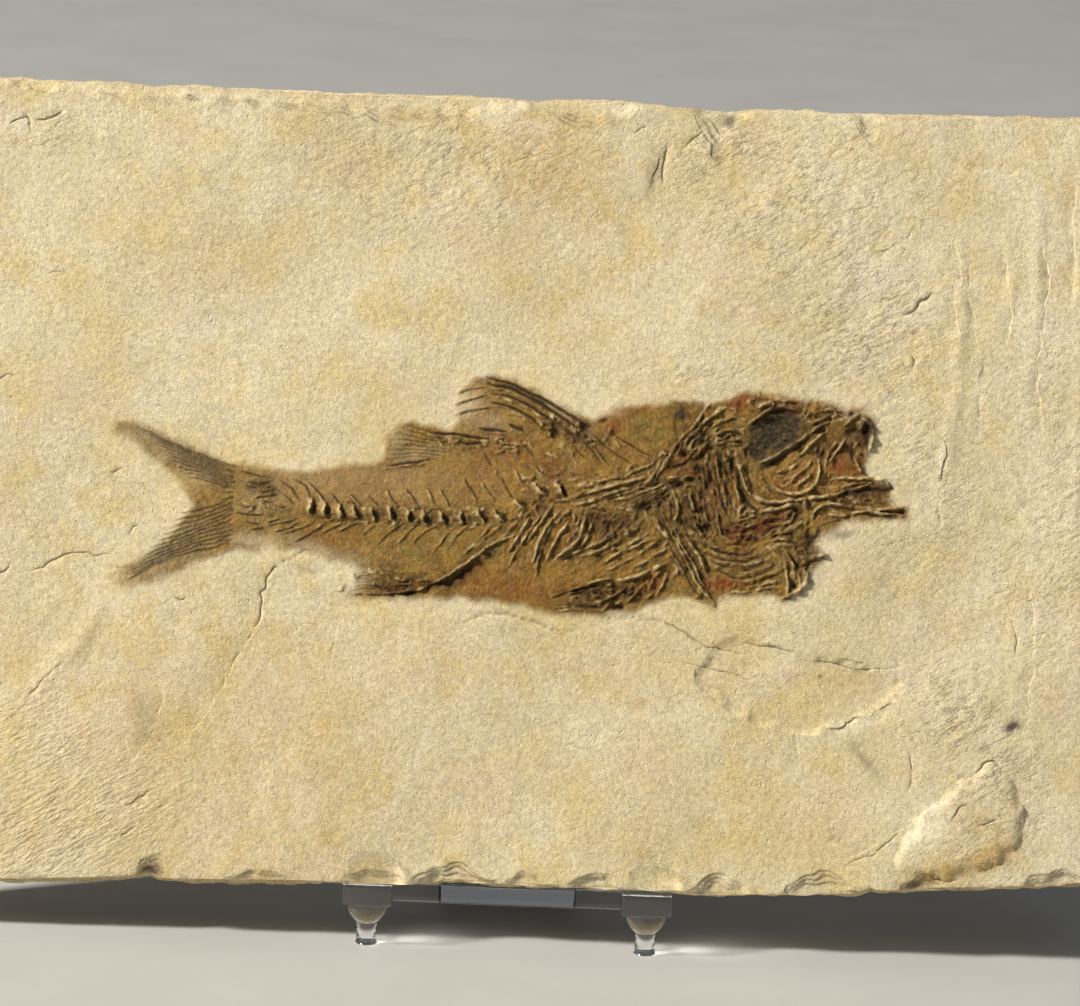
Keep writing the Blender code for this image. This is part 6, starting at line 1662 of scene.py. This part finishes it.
def limestone_group():
    """The stone's colour and its fine relief in millimetres, from a place and its marks."""
    group, given, result = new_group(
        "limestone_grain",
        [("Place", "NodeSocketVector")] + [(name, "NodeSocketFloat") for name in STONE_MARKS],
        [("Color", "NodeSocketColor"), ("Relief", "NodeSocketFloat")])
    place = given["Place"]
    clouds = ramp(group, texture(group, place, 0.06, 5.0, 0.62), 0.38, 0.62)
    colour = blend_colour(group, clouds, STONE_CREAM, STONE_SAND)
    for tint, share, scale, detail, rough, seed, low, high in STONE_CLOUDS:
        cloud = ramp(group, texture(group, place, scale, detail, rough, seed=seed), low, high)
        colour = blend_colour(group, times(group, cloud, share), colour, tint)
    colour = blend_colour(group, times(group, given["Stain"], 0.85), colour, STONE_OCHRE)
    colour = blend_colour(group, given["Pale"], colour, STONE_CHALK)
    layers = texture(group, place, 1.0, 3.0, 0.6, stretch=(0.03, 0.03, 1.7), seed=3.0)
    side = blend_colour(group, ramp(group, layers, 0.35, 0.65), STONE_TAN, STONE_CREAM)
    colour = blend_colour(group, times(group, given["Broken"], 0.6), colour, side)
    grain = texture(group, place, 4.6, 3.0, 0.7, seed=5.0)
    fabric = texture(group, place, 1.5, 4.0, 0.65, seed=8.0)
    specks = ramp(group, texture(group, place, 2.0, 1.0, 0.5, seed=43.0), 0.71, 0.78)
    light = plus(group, ramp(group, grain, 0.25, 0.75, 0.8, 1.17),
                 ramp(group, fabric, 0.3, 0.7, -0.14, 0.12))
    shade = add(group, "ShaderNodeCombineColor", values={0: light, 1: light, 2: light}).outputs[0]
    colour = blend_colour(group, 1.0, colour, shade, "MULTIPLY")
    colour = blend_colour(group, times(group, specks, 0.5), colour, STONE_SPECK)
    colour = blend_colour(group, given["Brown"], colour, STONE_BROWN)
    # Dirt and painted shade in cracks and along stepped edges
    colour = blend_colour(group, times(group, given["Crack"], 0.62), colour, STONE_CRACK_DIRT_AND_SHADE)
    group.links.new(colour, result["Color"])
    coarse = times(group, texture(group, place, 0.9, 6.0, 0.7, seed=21.0), 0.16)
    fine = times(group, texture(group, place, 6.0, 3.0, 0.7, seed=27.0), 0.085)
    middling = times(group, texture(group, place, 2.2, 4.0, 0.6, seed=23.0), 0.09)
    pits = ramp(group, texture(group, place, 1.7, 2.0, 0.5, seed=51.0), 0.64, 0.8, 0.0, -0.09)
    slanted = turned(group, place, -28.0)
    torn = texture(group, slanted, 1.3, 5.0, 0.66, stretch=(0.5, 1.0, 1.0), seed=57.0)
    torn = plus(group, times(group, torn, 0.42), ramp(group, torn, 0.36, 0.46, -0.15, 0.0))
    combed = texture(group, slanted, 2.4, 3.0, 0.55, stretch=(0.34, 1.0, 1.0), seed=63.0)
    combing = times(group, given["Combed"], 0.55)
    relief = plus(group, plus(group, coarse, fine), plus(group, middling, pits))
    relief = plus(group, relief, times(group, torn, given["Rough"]))
    relief = plus(group, relief, times(group, combed, combing))
    group.links.new(relief, result["Relief"])
    return group


def face_place(tree):
    """The place in the slab's own millimetres, so that grain follows the leaning stone."""
    spot = add(tree, "ShaderNodeTexCoord").outputs["Object"]
    origin, turn, _ = FACE_TO_WORLD.decompose()
    return add(tree, "ShaderNodeMapping", vector_type="TEXTURE", values={
        "Vector": spot, "Location": origin, "Rotation": turn.to_euler(),
        "Scale": (MM, MM, MM)}).outputs[0]


def new_material(name, **fixed):
    """A material, its nodes and its shader with the values that are the same all over."""
    finish = bpy.data.materials.new(name)
    finish.use_nodes = True
    tree = finish.node_tree
    shader = tree.nodes["Principled BSDF"]
    for socket, value in fixed.items():
        shader.inputs[socket.replace("_", " ")].default_value = value
    return finish, tree, shader


def grained(tree, group, place):
    """The stone group, fed with the piece's own marks."""
    node = add(tree, "ShaderNodeGroup", node_tree=group)
    tree.links.new(place, node.inputs["Place"])
    for name in STONE_MARKS:
        tree.links.new(mark(tree, name.lower()), node.inputs[name])
    return node


def raise_by(tree, shader, relief):
    """Fine relief in millimetres, as a bump."""
    bump = add(tree, "ShaderNodeBump", values={"Strength": 1.0, "Distance": MM, "Height": relief})
    tree.links.new(bump.outputs[0], shader.inputs["Normal"])


def limestone_finish(group):
    """Matt split limestone."""
    finish, tree, shader = new_material("split_limestone", Roughness=STONE_ROUGHNESS,
                                        Specular_IOR_Level=STONE_SPECULAR)
    stone = grained(tree, group, face_place(tree))
    tree.links.new(stone.outputs["Color"], shader.inputs["Base Color"])
    raise_by(tree, shader, stone.outputs["Relief"])
    return finish


def fossil_finish(group):
    """Stained film, pale and dark bone, and dirt with painted shade in the crevices, over the same
    stone.
    """
    finish, tree, shader = new_material("petrified_fish", Specular_IOR_Level=STONE_SPECULAR)
    place = face_place(tree)
    stone = grained(tree, group, place)
    film, bone, dirt_and_shade = mark(tree, "film"), mark(tree, "bone"), mark(tree, "dirt_and_shade")
    mottle = texture(tree, place, 0.5, 4.0, 0.6, seed=71.0)
    speckle = texture(tree, place, 2.4, 3.0, 0.6, seed=77.0)
    flesh = blend_colour(tree, ramp(tree, mottle, 0.38, 0.62), FILM_BROWN, FILM_TAN)
    for name, colour, strength in (("olive", FILM_OLIVE, 0.75), ("ochre", FILM_OCHRE, 0.6),
                                   ("umber", FILM_UMBER, 1.0), ("rust", FILM_RUST, 0.9)):
        share = times(tree, mark(tree, name), strength)
        flesh = blend_colour(tree, share, flesh, colour)
    glow = ramp(tree, texture(tree, place, 0.9, 4.0, 0.62, seed=79.0), 0.5, 0.66, 0.0, 0.6)
    flesh = blend_colour(tree, glow, flesh, FILM_OCHRE)
    flesh = blend_colour(tree, ramp(tree, speckle, 0.52, 0.72, 0.0, 0.6), flesh, FILM_DARK)
    flesh = blend_colour(tree, ramp(tree, speckle, 0.48, 0.3, 0.0, 0.42), flesh, FILM_PALE)
    patchy = ramp(tree, texture(tree, place, 1.1, 4.0, 0.65, seed=83.0), 0.25, 0.55, 0.86, 1.0)
    colour = blend_colour(tree, times(tree, film, patchy), stone.outputs["Color"], flesh)
    pale = mark(tree, "paleness")
    worn = blend_colour(tree, ramp(tree, pale, 0.0, 0.5), BONE_DARK, BONE_TAN)
    worn = blend_colour(tree, ramp(tree, pale, 0.5, 1.0), worn, BONE_CREAM)
    worn = blend_colour(tree, ramp(tree, speckle, 0.45, 0.7, 0.0, 0.5), worn, BONE_DARK)
    colour = blend_colour(tree, times(tree, bone, 0.75), colour, worn)
    for name, stain, strength in (("umber", FILM_UMBER, 0.6), ("rust", FILM_RUST, 0.45)):
        colour = blend_colour(tree, times(tree, mark(tree, name), strength), colour, stain)
    ash = times(tree, mark(tree, "ash"), 0.95)
    grey = blend_colour(tree, ramp(tree, speckle, 0.4, 0.7), FILM_ASH, FILM_SMOKE)
    colour = blend_colour(tree, ash, colour, grey)
    # Dirt and painted shade, darkest in the hollows, furrows and pits and on the bones' shadow
    # sides
    colour = blend_colour(tree, times(tree, dirt_and_shade, 0.95), colour, CREVICE_DIRT_AND_SHADE)
    tree.links.new(colour, shader.inputs["Base Color"])
    gloss = ramp(tree, times(tree, film, speckle), 0.0, 0.7, STONE_ROUGHNESS, 0.6)
    tree.links.new(gloss, shader.inputs["Roughness"])
    grit = times(tree, texture(tree, place, 2.9, 4.0, 0.7, seed=91.0), 0.2)
    relief = plus(tree, times(tree, stone.outputs["Relief"], 0.7), times(tree, grit, film))
    raise_by(tree, shader, relief)
    return finish


def acrylic_finish():
    """Clear moulded plastic, a little wavy and scuffed."""
    finish, tree, shader = new_material("clear_moulded_acrylic", Base_Color=ACRYLIC_TINT,
                                        Transmission_Weight=1.0, IOR=ACRYLIC_IOR)
    spot = add(tree, "ShaderNodeTexCoord").outputs["Object"]
    scuffs = add(tree, "ShaderNodeTexNoise", values={"Vector": spot, "Scale": 900.0, "Detail": 4.0})
    waves = add(tree, "ShaderNodeTexNoise", values={"Vector": spot, "Scale": 180.0, "Detail": 2.0})
    tree.links.new(ramp(tree, scuffs.outputs[0], 0.5, 0.8, 0.02, 0.14), shader.inputs["Roughness"])
    shadow = add(tree, "ShaderNodeLightPath").outputs["Is Shadow Ray"]
    tree.links.new(ramp(tree, shadow, 0.0, 1.0, 1.0, ACRYLIC_SHADOW), shader.inputs["Alpha"])
    bump = add(tree, "ShaderNodeBump", values={
        "Strength": 0.25, "Distance": 0.0001, "Height": waves.outputs[0]})
    tree.links.new(bump.outputs[0], shader.inputs["Normal"])
    return finish


def floor_finish():
    """A plain pale floor."""
    finish, tree, shader = new_material("pale_floor", Roughness=FLOOR_ROUGHNESS)
    spot = add(tree, "ShaderNodeTexCoord").outputs["Object"]
    grain = add(tree, "ShaderNodeTexNoise", values={"Vector": spot, "Scale": 40.0, "Detail": 5.0})
    shade = blend_colour(tree, ramp(tree, grain.outputs[0], 0.3, 0.7), FLOOR_DEEP, FLOOR_LIGHT)
    tree.links.new(shade, shader.inputs["Base Color"])
    return finish


# Stage

def floor_piece():
    """One wide square."""
    data = bpy.data.meshes.new("floor")
    half = FLOOR_SIZE / 2
    corners = [(x * half, y * half, -FLOOR_GAP) for x, y in ((-1, -1), (1, -1), (1, 1), (-1, 1))]
    data.from_pydata(corners, [], [(0, 1, 2, 3)])
    data.materials.append(floor_finish())
    return placed("floor", data)


def soft_light(name, across, up, out, distance, size, power, colour):
    """A square light in a direction given along the face's axes, aimed at the face's middle."""
    turn = FACE_TO_WORLD.to_3x3().normalized()
    way = (turn @ Vector((across, up, out))).normalized()
    data = bpy.data.lights.new(name, "AREA")
    data.size, data.energy, data.color = size, power, colour
    light = placed(name, data)
    light.location = FACE_TO_WORLD.translation + way * distance
    light.rotation_euler = way.to_track_quat("Z", "Y").to_euler()


def studio():
    """Soft sky light, a key light that rakes the relief and a weak fill."""
    world = bpy.data.worlds.new("studio")
    world.use_nodes = True
    sky = world.node_tree.nodes["Background"]
    sky.inputs["Color"].default_value = (*SKY, 1.0)
    sky.inputs["Strength"].default_value = SKY_STRENGTH
    bpy.context.scene.world = world
    soft_light("key", *KEY)
    soft_light("fill", *FILL)
    bpy.context.scene.view_settings.view_transform = "Standard"


def long_lens_camera():
    """Square on to the leaning face, a little rolled."""
    turn = FACE_TO_WORLD.to_3x3().normalized()
    right = turn @ Vector((math.cos(ROLL), math.sin(ROLL), 0))
    up = turn @ Vector((-math.sin(ROLL), math.cos(ROLL), 0))
    out = turn @ Vector((0, 0, 1))
    data = bpy.data.cameras.new("camera")
    data.lens = SENSOR * VIEW_DISTANCE / VIEW_WIDTH
    data.sensor_width = SENSOR
    camera = placed("camera", data)
    pose = Matrix((right, up, out)).transposed().to_4x4()
    pose.translation = FACE_TO_WORLD @ Vector((*VIEW_CENTRE, 0)) + out * VIEW_DISTANCE * MM
    camera.matrix_world = pose
    bpy.context.scene.camera = camera


FACE_TO_WORLD = face_to_world()
stone_grain = limestone_group()
fish_loop = smooth_line(FISH_MARGIN, LOOP_STEP, closed=True)[::-1]
slab = slab_piece(limestone_finish(stone_grain), fish_loop)
fish = fish_piece(fossil_finish(stone_grain), fish_loop)
easel = easel_piece(acrylic_finish())
for piece, node, slot in ((slab, "limestone_slab", "limestone"),
                          (fish, "fossil_fish", "fossil_bone"),
                          (easel, "display_stand", "clear_acrylic")):
    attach(piece, "root")
    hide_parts(node)
floor_piece()
studio()
long_lens_camera()
